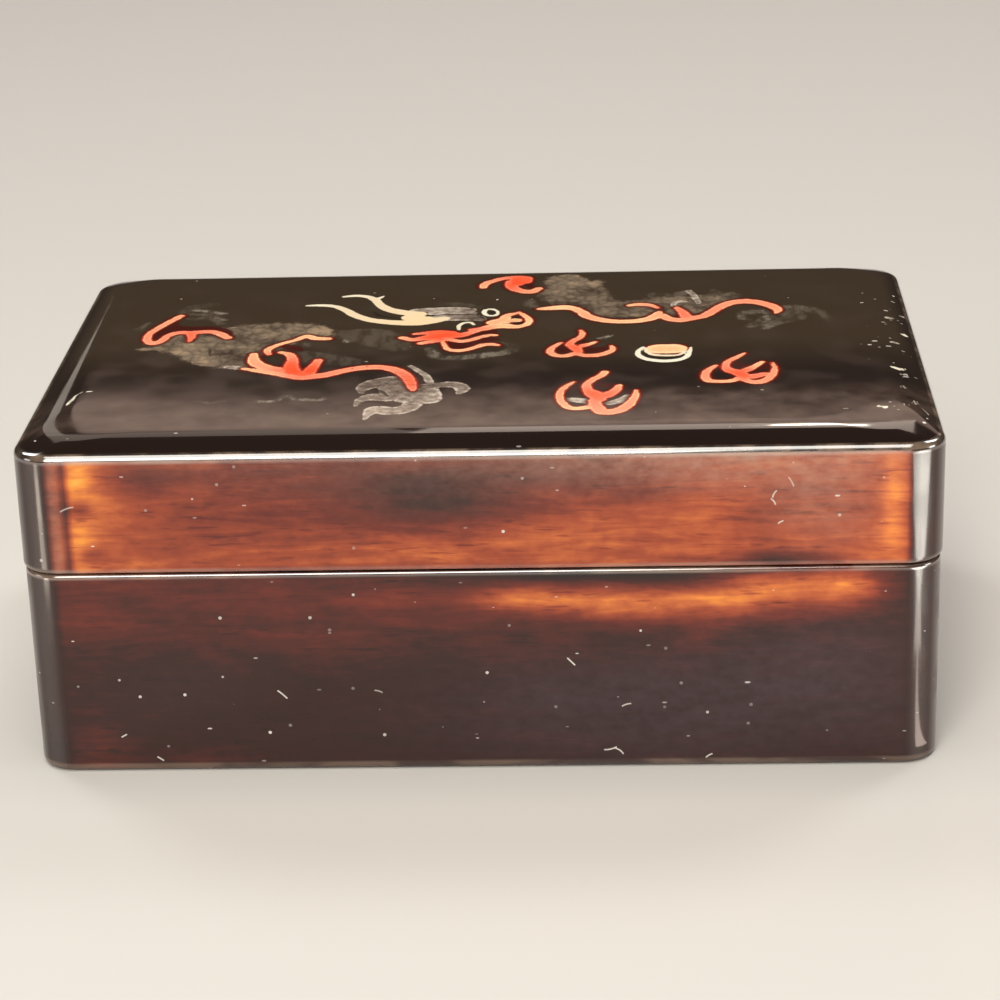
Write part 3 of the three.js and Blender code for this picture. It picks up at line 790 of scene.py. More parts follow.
class Bench:
    """A node tree with short ways to add and join its nodes."""

    def __init__(self, tree: bpy.types.NodeTree) -> None:
        """Takes the tree to work in."""
        self.tree = tree

    def node(self, kind: str, **settings: object) -> bpy.types.Node:
        """Adds a node and sets its properties."""
        made = self.tree.nodes.new(kind)
        for name, value in settings.items():
            setattr(made, name, value)
        return made

    def feed(self, socket: bpy.types.NodeSocket, value: object) -> None:
        """Joins an output to a socket, or sets the socket's own value."""
        if isinstance(value, bpy.types.NodeSocket):
            self.tree.links.new(value, socket)
        else:
            socket.default_value = value

    def math(self, operation: str, *values: object, clamp: bool = False) -> bpy.types.NodeSocket:
        """The result of a Math node."""
        made = self.node("ShaderNodeMath", operation=operation, use_clamp=clamp)
        for socket, value in zip(made.inputs, values):
            self.feed(socket, value)
        return made.outputs[0]

    def times(self, one: object, other: object) -> bpy.types.NodeSocket:
        """Two values multiplied."""
        return self.math("MULTIPLY", one, other)

    def scaled(self, value: object, by: object, more: object, clamp: bool = False) -> bpy.types.NodeSocket:
        """A value multiplied, and then more added."""
        return self.math("MULTIPLY_ADD", value, by, more, clamp=clamp)

    def centred(self, value: object, weight: float) -> bpy.types.NodeSocket:
        """A weighted noise that adds nothing at its middle."""
        return self.scaled(value, weight, -weight / 2)

    def step(self, value: object, step: Step) -> bpy.types.NodeSocket:
        """One of the named steps."""
        return self.ease(value, *step.value)

    def ease(self, value: object, low: float, high: float, start: float = 0.0,
             end: float = 1.0) -> bpy.types.NodeSocket:
        """A smooth step from start to end as the value goes from low to high."""
        made = self.node("ShaderNodeMapRange", interpolation_type="SMOOTHSTEP")
        for socket, item in zip(made.inputs, (value, low, high, start, end)):
            self.feed(socket, item)
        return made.outputs[0]

    def blend(self, share: object, under: object, over: object) -> bpy.types.NodeSocket:
        """Two colours mixed by a share."""
        made = self.node("ShaderNodeMix", data_type="RGBA")
        self.feed(made.inputs["Factor"], share)
        for name, value in (("A", under), ("B", over)):
            socket = next(s for s in made.inputs if s.name == name and s.type == "RGBA")
            self.feed(socket, value)
        return next(s for s in made.outputs if s.type == "RGBA")

    def ramp(self, value: object, stops: tuple[tuple[float, tuple], ...]) -> bpy.types.NodeSocket:
        """A colour for each value, through named stops."""
        made = self.node("ShaderNodeValToRGB")
        elements = made.color_ramp.elements
        while len(elements) < len(stops):
            elements.new(1.0)
        for element, (place, colour) in zip(elements, stops):
            element.position = place
            element.color = (*colour, 1.0)
        self.feed(made.inputs[0], value)
        return made.outputs[0]

    def place(self, scale: Place = (1, 1, 1), turn: object = 0.0) -> bpy.types.NodeSocket:
        """The piece's own coordinates, stretched for each metre and turned about Z, or about X, Y and Z."""
        spot = self.node("ShaderNodeTexCoord")
        made = self.node("ShaderNodeMapping")
        self.feed(made.inputs["Vector"], spot.outputs["Object"])
        made.inputs["Scale"].default_value = scale
        made.inputs["Rotation"].default_value = turn if isinstance(turn, tuple) else (0.0, 0.0, turn)
        return made.outputs[0]

    def noise(self, grain: Grain) -> bpy.types.NodeSocket:
        """The value of a Noise Texture."""
        cells, *settings, turn = grain.value
        made = self.node("ShaderNodeTexNoise")
        self.feed(made.inputs["Vector"], self.place(cells, turn))
        for name, value in zip(("Scale", "Detail", "Roughness", "Distortion"), settings):
            made.inputs[name].default_value = value
        return made.outputs[0]

    def cells(self, scale: Place, turn: object = 0.0, **settings: str) -> bpy.types.Node:
        """A Voronoi Texture's node."""
        made = self.node("ShaderNodeTexVoronoi", **settings)
        self.feed(made.inputs["Vector"], self.place(scale, turn))
        made.inputs["Scale"].default_value = 1.0
        return made

    def parts(self, value: object, kind: str = "XYZ") -> tuple[bpy.types.NodeSocket, ...]:
        """The three parts of a vector or of a colour."""
        made = self.node("ShaderNodeSeparate" + kind)
        self.feed(made.inputs[0], value)
        return tuple(made.outputs)

    def attribute(self, name: str, output: str = "Fac") -> bpy.types.NodeSocket:
        """A value kept on the piece."""
        made = self.node("ShaderNodeAttribute", attribute_type="GEOMETRY", attribute_name=name)
        return made.outputs[output]

    def group(self, tree: bpy.types.NodeTree, **values: object) -> bpy.types.NodeSocket:
        """The result of a node group."""
        made = self.node("ShaderNodeGroup", node_tree=tree)
        for name, value in values.items():
            self.feed(made.inputs[name], value)
        return made.outputs[0]


def new_group(name: str, inputs: dict[str, float], output: str, kind: str = "NodeSocketFloat") -> tuple:
    """Starts a node group.

    Args:
        name: The group's name.
        inputs: The name and first value of each input, all plain numbers.
        output: The name of its output.
        kind: The socket type of its output.

    Returns:
        The group, a bench to build it on, what its inputs hold, and the socket of its output.
    """
    tree = bpy.data.node_groups.new(name, "ShaderNodeTree")
    for label, value in inputs.items():
        socket = tree.interface.new_socket(label, in_out="INPUT", socket_type="NodeSocketFloat")
        socket.default_value = value
    tree.interface.new_socket(output, in_out="OUTPUT", socket_type=kind)
    bench = Bench(tree)
    return tree, bench, bench.node("NodeGroupInput").outputs, bench.node("NodeGroupOutput").inputs[0]


def brush_group() -> bpy.types.NodeTree:
    """The mask of one paint: its distance field with a hand-made edge.

    Returns:
        A group from Inside, Ragged, Softness and Wobble to Mask.
    """
    first = {"Inside": -1.0, "Ragged": 0.0, "Softness": 0.12, "Wobble": 0.3}
    tree, bench, taken, mask = new_group("brush edge", first, "Mask")
    edge = bench.scaled(taken["Ragged"], taken["Wobble"], taken["Inside"])
    low = bench.times(taken["Softness"], -1.0)
    bench.feed(mask, bench.ease(edge, low, taken["Softness"]))
    return tree


@dataclass(frozen=True)
class Fibre:
    """A pale thread of dust on the front wall, in millimetres and degrees."""

    x: float
    z: float
    turn: float
    length: float
    bow: float = 0.0
    strength: float = 0.9


LID_FIBRES = rows_of(
    Fibre,
    (44.2, 45.1, 62, 1.3, 0.3, 0.6), (44.2, 43.9, -55, 1.2, 0.3, 0.6), (46.8, 47, -62, 1.7, 0.1, 0.35),
    (-61.6, 44.2, 20, 2.2, 0.1, 0.5), (45.2, 40.6, 30, 0.9, 0.3, 0.6),
)
BASE_FIBRES = rows_of(
    Fibre,
    (-30.8, 13, -44, 2, 0.05), (13.6, 18, -47, 1.7), (20.8, 2.9, -38, 1.7, 0.25),
    (19.4, 3.1, 14, 2, -0.15), (21.9, 10.7, 18, 1.5, 0.2, 0.7), (-16, 13.4, -18, 1.3, 0.2, 0.5),
    (-50.4, 2.2, -35, 1.2), (-55.8, 6.2, 30, 1), (34.5, 1.9, 32, 1.2, 0.2),
)


# Threads lie in front of this place along Y, in millimetres.
FRONT = -30.0


def fibre_group() -> bpy.types.NodeTree:
    """A short pale thread on the front wall.

    Returns:
        A group from its place, turn, length and bow to Mask.
    """
    first = {"X": 0.0, "Z": 0.0, "Turn": 0.0, "Length": 1.0, "Bow": 0.0}
    tree, bench, taken, mask = new_group("fibre", first, "Mask")
    x, y, z = bench.parts(bench.place((1 / MM,) * 3))
    away_x, away_z = bench.math("SUBTRACT", x, taken["X"]), bench.math("SUBTRACT", z, taken["Z"])
    turn = bench.math("RADIANS", taken["Turn"])
    cosine, sine = bench.math("COSINE", turn), bench.math("SINE", turn)
    along = bench.scaled(away_x, cosine, bench.times(away_z, sine))
    across = bench.math("SUBTRACT", bench.times(away_z, cosine), bench.times(away_x, sine))
    bowed = bench.scaled(bench.times(along, along), taken["Bow"], across)
    thin = bench.step(bench.math("ABSOLUTE", bowed), Step.THREAD)
    short = bench.math("LESS_THAN", bench.math("ABSOLUTE", along), bench.times(taken["Length"], 0.5))
    front = bench.math("LESS_THAN", y, FRONT)
    bench.feed(mask, bench.times(bench.times(thin, short), front))
    return tree


@dataclass(frozen=True)
class Specks:
    """One kind of speck: its cells to the metre and their turn, its size in a cell, and how crowded it is.

    The kind shows where there is more dust than `start`. The smallest speck has `least` times the size and
    the largest is one size larger. Their strengths go from `faintest` to 1.
    """

    cells: Place
    turn: Place
    size: float
    crowd: float
    start: float = 0.0
    least: float = 0.6
    faintest: float = 0.2


SPECKS = rows_of(
    Specks,
    ((300, 300, 300), (0.0, 0.0, 0.0), 0.06, 0.16),
    ((210, 420, 560), (0.3, 0.5, 0.2), 0.06, 0.16),
    ((380, 620, 12), (0.0, 0.0, 0.4), 0.12, 0.07, 3.0),
)


def dust_group() -> bpy.types.NodeTree:
    """White specks of dust, some round and some drawn out.

    Returns:
        A group from Amount to Mask.
    """
    tree, bench, taken, mask = new_group("dust", {"Amount": 0.5}, "Mask")
    dusty = 0.0
    for specks in SPECKS:
        cells = bench.cells(specks.cells, specks.turn, feature="F1")
        luck, size, shade = bench.parts(cells.outputs["Color"], "Color")[:3]
        share = bench.scaled(taken["Amount"], specks.crowd, -specks.start * specks.crowd)
        rare = bench.math("LESS_THAN", luck, share)
        grown = bench.scaled(size, specks.size, specks.size * specks.least)
        spot = bench.math("LESS_THAN", cells.outputs["Distance"], grown)
        faint = bench.scaled(bench.math("POWER", shade, 2.0), 1 - specks.faintest, specks.faintest)
        dusty = bench.math("MAXIMUM", dusty, bench.times(rare, bench.times(spot, faint)))
    bench.feed(mask, dusty)
    return tree


# The depth of the waves in metres, and that of a scratch as a share of it.
WAVE_DEPTH = 0.0012
SCRATCH_DEPTH = -0.01


def gloss_group() -> bpy.types.NodeTree:
    """The unevenness of old polished lacquer: its waviness and fine scratches.

    Returns:
        A group from Wave and Scratch to Normal.
    """
    first = {"Wave": 0.2, "Scratch": 0.2}
    tree, bench, taken, normal = new_group("old gloss", first, "Normal", "NodeSocketVector")
    scratch = bench.step(bench.noise(Grain.SCRATCHES), Step.SCRATCH)
    height = bench.times(bench.noise(Grain.WAVES), taken["Wave"])
    height = bench.scaled(bench.times(scratch, taken["Scratch"]), SCRATCH_DEPTH, height)
    bump = bench.node("ShaderNodeBump")
    bump.inputs["Strength"].default_value = 1.0
    bump.inputs["Distance"].default_value = WAVE_DEPTH
    bench.feed(bump.inputs["Height"], height)
    bench.feed(normal, bump.outputs["Normal"])
    return tree


@dataclass(frozen=True)
class LacquerFinish:
    """Polished lacquer over wood: black-brown on the top, red-brown to amber on the walls, where light and
    shade are painted into the colour.

    A pair of numbers is what a value is multiplied by and what is then added.
    """

    name: str
    painted: bool
    fibres: tuple[Fibre, ...] = ()
    # The pale colour of the painted reflection on the walls and along the top's front.
    reflection_veil: Colour = (0.36, 0.235, 0.18, 1.0)
    # The pale colour of worn edges, partly a painted highlight on the rims and the foot.
    rubbed_and_sheen: Colour = (0.4, 0.28, 0.2, 1.0)
    warm: Colour = (0.036, 0.023, 0.013, 1.0)
    scratch: float = 0.2
    lacquer_index: float = 1.5
    polish_index: float = 2.2
    polish_blur: float = 0.12
    thread_blur: float = 0.5
    reflection_cover: float = 0.8
    clouds: float = 0.9
    streaks: float = 1.0
    mottle: float = 0.42
    lively: tuple[float, float] = (0.7, 0.03)
    reflection_mottle: float = 1.6
    wall_reflection: tuple[float, float] = (0.6, -0.3)
    panel_reflection: tuple[float, float] = (2.2, -0.6)
    bristle: float = 0.4
    scales: Place = (560, 440, 1)
    patchy_scales: tuple[float, float] = (2.0, -1.0)
    mist_cover: tuple[float, float] = (0.5, 0.4)
    shades: tuple = (
        (0.0, (0.012, 0.0066, 0.005)),
        (0.15, (0.034, 0.0085, 0.007)),
        (0.3, (0.14, 0.02, 0.011)),
        (0.45, (0.33, 0.058, 0.02)),
        (0.6, (0.56, 0.14, 0.034)),
        (0.75, (0.8, 0.27, 0.04)),
        (0.92, (0.95, 0.48, 0.08)),
    )

    def worn(self, bench: Bench, colour: object, cloudy: object, drift: object) -> bpy.types.NodeSocket:
        """The colour under its painted reflection veil, and with its edges rubbed to a pale colour that is
        partly a painted highlight.
        """
        reflection_veil = bench.times(bench.attribute("painted_reflection"), bench.times(cloudy, self.reflection_cover))
        colour = bench.blend(reflection_veil, colour, self.reflection_veil)
        # The edges turn pale where worn, partly as a painted highlight.
        wear_and_sheen = bench.times(bench.attribute("wear_and_sheen"), bench.step(drift, Step.WEAR_AND_SHEEN))
        return bench.blend(wear_and_sheen, colour, self.rubbed_and_sheen)

    def undercoat(self, bench: Bench) -> bpy.types.NodeSocket:
        """The wall's colour, from black-brown to amber as its painted light and shade say, with the grain of
        the wood under it.
        """
        painted_light_and_tone = bench.attribute("painted_light_and_tone")
        clouds, mottle = bench.noise(Grain.CLOUDS), bench.noise(Grain.MOTTLE)
        shown = bench.centred(clouds, self.clouds)
        shown = bench.math("ADD", shown, bench.centred(bench.noise(Grain.STREAKS), self.streaks))
        shown = bench.math("ADD", shown, bench.centred(mottle, self.mottle))
        shown = bench.math("SUBTRACT", shown, bench.step(bench.noise(Grain.PORES), Step.PORES))
        lit = bench.scaled(shown, bench.scaled(painted_light_and_tone, *self.lively), painted_light_and_tone, clamp=True)
        cloudy = bench.scaled(bench.scaled(mottle, self.reflection_mottle, clouds), *self.wall_reflection)
        return self.worn(bench, bench.ramp(lit, self.shades), cloudy, clouds)

    def panel(self, bench: Bench, brush: bpy.types.NodeTree) -> bpy.types.NodeSocket:
        """The lid's top: black-brown, with a painted reflection along the front, and the picture over it."""
        fine = bench.centred(bench.noise(Grain.FINE), 1.0)
        ragged = bench.scaled(fine, self.bristle, bench.centred(bench.noise(Grain.COARSE), 1.0))
        drift = bench.noise(Grain.DRIFT)
        dark = (*self.shades[0][1], 1.0)
        colour = bench.blend(bench.attribute("painted_light_and_tone"), dark, self.warm)
        colour = self.worn(bench, colour, bench.scaled(drift, *self.panel_reflection, clamp=True), drift)
        for paint in Paint:
            colour = self.layer(bench, colour, paint, brush, ragged, fine, drift)
        return colour

    def layer(self, bench: Bench, under: object, paint: Paint, brush: bpy.types.NodeTree, ragged: object,
              mottle: object, drift: object) -> bpy.types.NodeSocket:
        """Lays one paint over what is there.

        Args:
            bench: The material's bench.
            under: The colour so far.
            paint: The paint to lay.
            brush: The node group that gives its edge.
            ragged: The unevenness of the brush's edge.
            mottle: The fine unevenness of a paint's shade.
            drift: The broad unevenness of a thin wash.

        Returns:
            The colour with the paint over it.
        """
        softness, wobble, cover, streak, stops = PAINTS[paint]
        inside, tint, across = bench.parts(bench.attribute(paint.value, "Vector"))
        mask = bench.group(brush, Inside=inside, Ragged=ragged, Softness=softness, Wobble=wobble)
        shade = bench.scaled(ragged if paint in BROAD else mottle, streak, tint)
        if paint in LIT_EDGE:
            lit = bench.step(bench.math("ABSOLUTE", across), LIT_EDGE[paint])
            shade = bench.math("ADD", shade, lit)
        if paint is Paint.CINNABAR:
            under = bench.blend(bench.step(inside, Step.HALO), under, HALO)
            under = bench.blend(bench.step(inside, Step.OUTLINE), under, OUTLINE)
        if paint is Paint.BODY:
            scales = bench.cells(self.scales, feature="DISTANCE_TO_EDGE", voronoi_dimensions="2D")
            rims = bench.step(scales.outputs["Distance"], Step.SCALES)
            rims = bench.math("ADD", rims, bench.scaled(drift, *self.patchy_scales))
            shade = bench.math("ADD", shade, rims)
        if paint is Paint.MIST:
            mask = bench.times(mask, bench.step(bench.noise(Grain.WISPS), Step.WISPS))
            cover = bench.scaled(tint, *self.mist_cover)
        return bench.blend(bench.times(mask, cover), under, bench.ramp(shade, stops))

    def build(self, groups: dict[str, bpy.types.NodeTree]) -> bpy.types.Material:
        """Makes the material.

        Args:
            groups: The shared node groups by name.

        Returns:
            The finished material.
        """
        material = bpy.data.materials.new(self.name)
        material.use_nodes = True
        material.node_tree.nodes.clear()
        bench = Bench(material.node_tree)
        colour = self.panel(bench, groups["brush"]) if self.painted else self.undercoat(bench)
        threads = bench.group(groups["dust"], Amount=bench.attribute("dust"))
        for fibre in self.fibres:
            thread = bench.group(groups["fibre"], X=fibre.x, Z=fibre.z, Turn=fibre.turn,
                                 Length=fibre.length, Bow=fibre.bow)
            threads = bench.math("MAXIMUM", threads, bench.times(thread, fibre.strength))
        shader = bench.node("ShaderNodeBsdfPrincipled")
        shader.inputs["IOR"].default_value = self.lacquer_index
        shader.inputs["Coat IOR"].default_value = self.polish_index
        shader.inputs["Coat Roughness"].default_value = self.polish_blur
        bench.feed(shader.inputs["Coat Weight"], bench.attribute("polish"))
        bench.feed(shader.inputs["Base Color"], bench.blend(threads, colour, DUST))
        dull = bench.times(bench.step(bench.noise(Grain.PATCHES), Step.DULL), bench.attribute("dull"))
        bench.feed(shader.inputs["Roughness"], bench.scaled(threads, self.thread_blur, dull, clamp=True))
        gloss = bench.group(groups["gloss"], Wave=bench.attribute("wave"), Scratch=self.scratch)
        bench.feed(shader.inputs["Normal"], gloss)
        output = bench.node("ShaderNodeOutputMaterial")
        bench.feed(output.inputs["Surface"], shader.outputs[0])
        return material


# The dark red round a bright stroke, its outline, and the colour of dust.
HALO = (0.05, 0.003, 0.001, 1.0)
OUTLINE = (0.36, 0.016, 0.005, 1.0)
DUST = (0.72, 0.68, 0.62, 1.0)

# For each paint: edge softness, edge wobble, cover, mottling and its shades by tint.
PAINTS = {
    Paint.MIST: (0.5, 0.9, 0.6, 0.5, ((0.0, (0.075, 0.058, 0.042)), (0.5, (0.14, 0.115, 0.086)),
                                      (1.0, (0.34, 0.3, 0.24)))),
    Paint.BODY: (0.7, 2.4, 0.95, 0.3, ((0.0, (0.045, 0.03, 0.02)), (0.35, (0.11, 0.08, 0.055)),
                                       (0.7, (0.21, 0.155, 0.105)), (1.0, (0.34, 0.24, 0.15)))),
    Paint.MAROON: (0.3, 0.4, 0.95, 0.0, ((0.0, (0.03, 0.002, 0.001)), (1.0, (0.045, 0.002, 0.001)))),
    Paint.CLAW: (0.16, 0.6, 0.97, 1.3, ((0.0, (0.075, 0.052, 0.04)), (0.4, (0.19, 0.145, 0.115)),
                                        (0.8, (0.38, 0.31, 0.25)), (1.0, (0.58, 0.5, 0.41)))),
    Paint.CINNABAR: (0.1, 0.45, 1.0, 0.24, ((0.0, (0.85, 0.07, 0.018)), (0.25, (0.9, 0.13, 0.055)),
                                           (0.5, (0.91, 0.23, 0.13)), (0.75, (0.92, 0.35, 0.2)),
                                           (0.95, (0.91, 0.52, 0.26)), (1.0, (0.9, 0.62, 0.34)))),
    Paint.IVORY: (0.1, 0.25, 1.0, 0.2, ((0.0, (0.9, 0.66, 0.36)), (0.4, (0.82, 0.66, 0.45)),
                                        (1.0, (0.84, 0.8, 0.64)))),
    Paint.INK: (0.14, 0.2, 0.85, 0.0, ((0.0, (0.16, 0.012, 0.004)), (0.5, (0.05, 0.006, 0.002)),
                                       (1.0, (0.012, 0.008, 0.004)))),
}
# The paints laid broadly, whose shade drifts with the brush, and those that grow lighter at their edges.
BROAD = (Paint.CLAW, Paint.MIST)
LIT_EDGE = {Paint.CINNABAR: Step.CINNABAR_EDGE, Paint.CLAW: Step.CLAW_EDGE}
# How much of a stroke's drawn width each thin paint keeps.
FINE_BRUSH = {Paint.CINNABAR: 0.82, Paint.IVORY: 0.78}


@dataclass
class Lid(Shell):
    """The lift-off lid with its raised, painted panel."""

    rise: float = 1.5
    border: float = 6.5
    panel_corner: float = 14.0
    shoulder: float = 3.2
    top: float = 3.4
    slope_turns: tuple[float, float] = (0.5, 0.85)
    wall_rows: int = 8

    def section(self, low: float, high: float, base_rim: float) -> list[Turn]:
        """The lid's section, from the panel's edge over the rim and down to the ceiling.

        Args:
            low: The height of the lid's edge.
            high: The height of its panel.
            base_rim: The height of the base's rim.

        Returns:
            The turns in order.
        """
        j = self.joinery
        rim = high - self.rise
        slope_end = self.border - self.shoulder / 2
        edge_of_panel = self.border + self.shoulder / 2

        def corner_at(inset: float) -> float:
            """The corner radius of a turn on the sloping border."""
            share = (inset - j.rim_round) / (edge_of_panel - j.rim_round)
            return (j.corner - j.rim_round) + share * (self.panel_corner - j.corner + j.rim_round)

        slope = math.degrees(math.atan2(self.rise, slope_end))
        control = np.array(
            [
                (edge_of_panel, high),
                (slope_end, high),
                (slope_end - self.shoulder / 2, high - self.rise * self.shoulder / 2 / slope_end),
            ]
        )
        turns = []
        for t in np.linspace(0, 1, j.arc_steps + 1):
            x, z = (1 - t) ** 2 * control[0] + 2 * t * (1 - t) * control[1] + t**2 * control[2]
            turns.append(Turn(float(x), float(z), corner_at(float(x)), Zone.TOP))
        rim_arc = quarter(j.rim_round, rim - j.rim_round, j.rim_round, 90 - slope, 0, j.arc_steps)
        last = turns[-1]
        for t in self.slope_turns:
            inset, height = (a + t * (b - a) for a, b in zip((last.inset, last.height), rim_arc[0]))
            turns.append(Turn(inset, height, corner_at(inset), Zone.TOP))
        turns += self.bend(rim_arc[: j.arc_steps - 1], Zone.TOP, j.rim_wear_and_sheen)
        turns += self.bend(rim_arc[j.arc_steps - 1 :], Zone.WALL, j.rim_wear_and_sheen)
        turns += self.rows(rim - j.rim_round - j.hold, low + j.seam_round + j.hold, self.wall_rows, 0.0)
        seam = quarter(j.seam_round, low + j.seam_round, j.seam_round, 0, -90, j.arc_steps // 2)
        turns += self.bend(seam, Zone.WALL, j.seam_wear_and_sheen)
        cove, ceiling = j.inner_round, high - self.top
        rebate = base_rim + j.lip_height + j.lip_top_clearance
        inside = [(j.lid_edge, low), (j.lid_edge, rebate), (j.wall, rebate)]
        inside += quarter(j.wall + cove, ceiling - cove, cove, 0, 90, j.arc_steps // 2)
        turns += self.bend(inside, Zone.INSIDE)
        return turns

    def build(self, base_rim: float, finishes: tuple[bpy.types.Material, ...]) -> bpy.types.Object:
        """Models the lid, lays out its picture and gives it its finish.

        Args:
            base_rim: The height of the base's rim.
            finishes: The lacquer of its walls and the painted lacquer of its top.

        Returns:
            The finished piece.
        """
        low, high = (corner.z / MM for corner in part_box("lid"))
        turns = self.section(low, high, base_rim)
        piece = self.first_face(turns[0])
        self.grow(piece, turns)
        WallLook(LID_PAINTED_LIGHT, LID_PAINTED_REFLECTION, quiet=0.44).place(piece, self.width, self.depth, self.joinery.corner)
        spots = spots_of(piece)
        on_top = spots[:, 2] > high - self.rise
        for paint in Paint:
            values = np.tile(BARE, (len(spots), 1))
            values[on_top] = paint_field(PICTURE[paint], spots[on_top, :2], FINE_BRUSH.get(paint, 1.0))
            store(piece, paint.value, values)
        self.dress(piece, "lid", "lid_lacquer", finishes)
        return piece


@dataclass
class Base(Shell):
    """The base: an open box with a lip that the lid drops over."""

    overhang: float = 0.25
    foot_under: int = 3
    lip_steps: int = 3
    wall_rows: int = 16

    def section(self, low: float, rim: float) -> list[Turn]:
        """The base's section, from the edge of its underside up and over the lip to its floor.

        Args:
            low: The height of the underside.
            rim: The height of the rim that carries the lid.

        Returns:
            The turns in order.
        """
        j = self.joinery
        out = self.overhang
        lip_out = j.lid_edge + j.lip_side_clearance
        lip_top = rim + j.lip_height
        floor = low + j.floor
        foot = quarter(out + j.foot_round, low + j.foot_round, j.foot_round, -90, 0, j.arc_steps)
        turns = self.bend([(out + j.foot_round + j.hold, low)], Zone.UNDER)
        turns += self.bend(foot[: self.foot_under], Zone.UNDER, j.foot_wear_and_sheen)
        turns += self.bend(foot[self.foot_under :], Zone.WALL, j.foot_wear_and_sheen)
        turns += self.rows(low + j.foot_round + j.hold, rim - j.seam_round - j.hold, self.wall_rows, out)
        seam = quarter(out + j.seam_round, rim - j.seam_round, j.seam_round, 0, 90, j.arc_steps // 2)
        turns += self.bend(seam, Zone.WALL, j.rim_wear_and_sheen)
        crest, cove = lip_top - j.lip_round, j.inner_round
        inside = [(lip_out, rim)]
        inside += quarter(lip_out + j.lip_round, crest, j.lip_round, 0, 90, self.lip_steps)
        inside += quarter(j.wall - j.lip_round, crest, j.lip_round, 90, 180, self.lip_steps)
        inside += quarter(j.wall + cove, floor + cove, cove, 0, -90, j.arc_steps // 2)
        return turns + self.bend(inside, Zone.INSIDE)

    def build(self, material: bpy.types.Material) -> bpy.types.Object:
        """Models the base and gives it its finish.

        Args:
            material: The plain lacquer.

        Returns:
            The finished piece.
        """
        low, high = (corner.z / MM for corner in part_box("base"))
        turns = self.section(low, high - self.joinery.lip_height)
        piece = self.first_face(turns[0])
        self.grow(piece, turns)
        WallLook(BASE_PAINTED_LIGHT, BASE_PAINTED_REFLECTION, quiet=0.13).place(piece, self.width, self.depth, self.joinery.corner)
        self.dress(piece, "base", "base_lacquer", (material,))
        return piece


# The studio.


@dataclass(frozen=True)
class SoftBox:
    """A soft light: its place, its aim and its width and height, in millimetres, its spin in degrees."""

    name: str
    spot: Place
    aim: Place
    size: tuple[float, float]
    painted_light_and_tone: float
    tone: Place = (1.0, 1.0, 1.0)
    spin: float = 0.0

    def build(self) -> None:
        """Adds the lamp, as bright for each bit of its face as its glow says."""
        data = bpy.data.lights.new(self.name, "AREA")
        data.shape = "RECTANGLE"
        data.size, data.size_y = (side * MM for side in self.size)
        data.energy = self.painted_light_and_tone * math.pi * data.size * data.size_y
        data.color = self.tone
        lamp = bpy.data.objects.new(self.name, data)
        bpy.context.scene.collection.objects.link(lamp)
        place, aim = Vector(self.spot) * MM, Vector(self.aim) * MM
        lamp.location = place
        facing = (aim - place).to_track_quat("-Z", "Y") @ Quaternion((0, 0, 1), math.radians(self.spin))
        lamp.rotation_euler = facing.to_euler()
        lamp.visible_camera = False


LAMPS = rows_of(
    SoftBox,
    ("overhead", (-30, -235, 850), (-30, -235, 0), (480, 770), 4.6, (1.0, 0.965, 0.9)),
    ("front", (-150, -800, 620), (0, 0, 20), (420, 560), 9.0, (1.0, 0.965, 0.9)),
    ("right", (900, -250, 200), (60, -20, 30), (300, 300), 6.0),
    ("left", (-900, -300, 250), (-60, -20, 30), (300, 300), 3.0),
    ("floor_left", (-700, 650, 1000), (0, 300, 0), (400, 400), 8.0),
    ("floor_right", (700, 650, 1000), (0, 300, 0), (400, 400), 8.0),
    ("corner_right", (158, -132, 2), (158, -132, 100), (100, 100), 8.0, (1.0, 0.96, 0.86)),
    ("foot_right", (82, -57, 2), (82, -57, 100), (3.4, 38), 3.4, (1.0, 0.8, 0.68), -45),
    ("rim_right", (112, -87, 2), (112, -87, 100), (18, 52), 3.6, (1.0, 0.88, 0.78), -45),
    ("corner_left", (-145, -119, 2), (-145, -119, 100), (24, 80), 5.0, (1.0, 0.86, 0.7), 45),
    ("panel_card", (177, 1443, 694), (0, 0, 54), (1195, 190), 0.92, (1.0, 0.7, 0.56)),
    ("shoulder_left", (-520, 1426, 600), (-60, 0, 54), (110, 400), 0.9, (1.0, 0.88, 0.76)),
    ("shoulder_dim", (-320, 1234, 849), (-40, -38, 54), (400, 290), 0.8, (1.0, 0.8, 0.68)),
    ("shoulder_strip", (140, 1234, 849), (20, -38, 54), (520, 290), 2.4, (1.0, 0.8, 0.68)),
    ("shoulder_right", (165, 1250, 800), (55, -38, 54), (90, 80), 20.0, (1.0, 0.88, 0.72)),
)


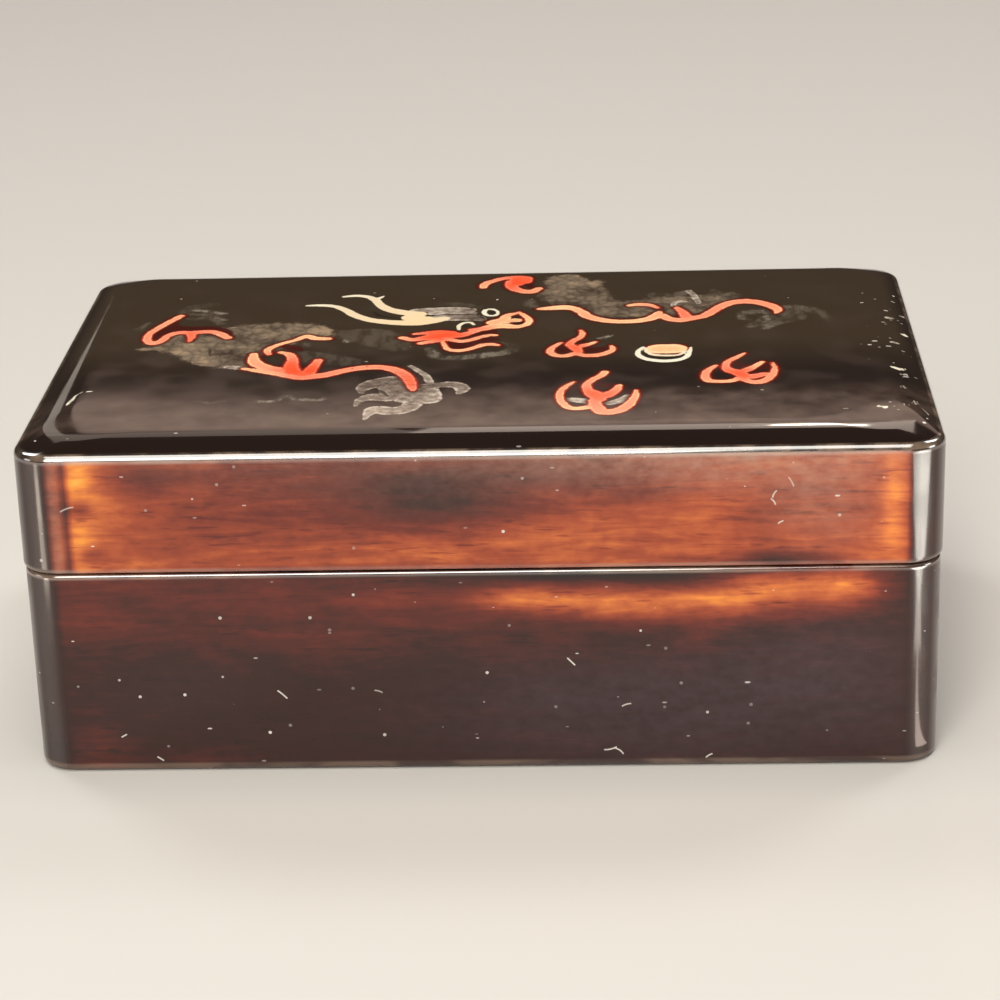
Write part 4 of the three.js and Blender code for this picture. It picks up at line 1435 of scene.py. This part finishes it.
@dataclass(frozen=True)
class Studio:
    """The camera, the floor and the room, in millimetres and degrees."""

    eye: Place = (22.498, -446.185, 203.601)
    yaw: float = 2.7036
    pitch: float = 21.5619
    roll: float = -1.7669
    focal_pixels: float = 2903.27
    picture: float = 1000.0
    sensor: float = 36.0
    near: float = 10.0
    far: float = 50000.0
    floor_reach: float = 6000.0
    floor_colour: Colour = (0.6, 0.575, 0.54, 1.0)
    floor_blur: float = 0.9
    room_colour: Colour = (1.0, 0.8, 0.64, 1.0)
    room_glow: float = 0.06

    def camera(self) -> None:
        """Sets the camera where the photograph was taken from."""
        data = bpy.data.cameras.new("camera")
        data.sensor_width = self.sensor
        data.lens = self.focal_pixels / self.picture * self.sensor
        data.clip_start, data.clip_end = self.near * MM, self.far * MM
        camera = bpy.data.objects.new("camera", data)
        bpy.context.scene.collection.objects.link(camera)
        turn = Matrix.Rotation(math.radians(self.yaw), 4, "Z")
        turn @= Matrix.Rotation(math.radians(90 - self.pitch), 4, "X")
        turn @= Matrix.Rotation(math.radians(self.roll), 4, "Z")
        camera.matrix_world = Matrix.Translation([v * MM for v in self.eye]) @ turn
        bpy.context.scene.camera = camera

    def floor(self) -> None:
        """Lays a plain pale floor under the box."""
        bpy.ops.object.select_all(action="DESELECT")
        bpy.ops.mesh.primitive_plane_add(size=self.floor_reach * MM)
        floor = bpy.context.active_object
        floor.name = "floor"
        material = bpy.data.materials.new("floor")
        material.use_nodes = True
        shader = material.node_tree.nodes["Principled BSDF"]
        shader.inputs["Base Color"].default_value = self.floor_colour
        shader.inputs["Roughness"].default_value = self.floor_blur
        floor.data.materials.append(material)

    def room(self) -> None:
        """Gives the room a dim, even light."""
        world = bpy.data.worlds.new("room")
        world.use_nodes = True
        room = world.node_tree.nodes["Background"]
        room.inputs["Color"].default_value = self.room_colour
        room.inputs["Strength"].default_value = self.room_glow
        bpy.context.scene.world = world

    def build(self) -> None:
        """Makes the whole studio."""
        self.camera()
        self.floor()
        for lamp in LAMPS:
            lamp.build()
        self.room()
        bpy.context.scene.view_settings.view_transform = "Standard"


# How finely each shell's first face is divided, and the cooler colour of the base's painted reflection.
BASE_CELLS = (96, 60)
LID_CELLS = (292, 172)
BASE_REFLECTION_VEIL = (0.1, 0.088, 0.115, 1.0)


def main() -> None:
    """Builds the studio, the base and the lid."""
    logging.basicConfig(level=logging.INFO, format="%(name)s: %(message)s")
    Studio().build()
    groups = {"brush": brush_group(), "dust": dust_group(), "fibre": fibre_group(), "gloss": gloss_group()}
    low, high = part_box("lid")
    width, depth = (high.x - low.x) / MM, (high.y - low.y) / MM
    base = Base("base_shell", width, depth, BASE_CELLS)
    box = base.build(LacquerFinish("base_lacquer", False, BASE_FIBRES, BASE_REFLECTION_VEIL).build(groups))
    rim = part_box("base")[1].z / MM - base.joinery.lip_height
    lid = Lid("lid_shell", width, depth, LID_CELLS)
    walls = LacquerFinish("lid_lacquer", False, LID_FIBRES).build(groups)
    painting = LacquerFinish("painted_lacquer", True, scratch=0.0).build(groups)
    for piece in (box, lid.build(rim, (walls, painting))):
        LOG.info("%s has %d faces", piece.name, len(piece.data.polygons))


if __name__ == "__main__":
    main()
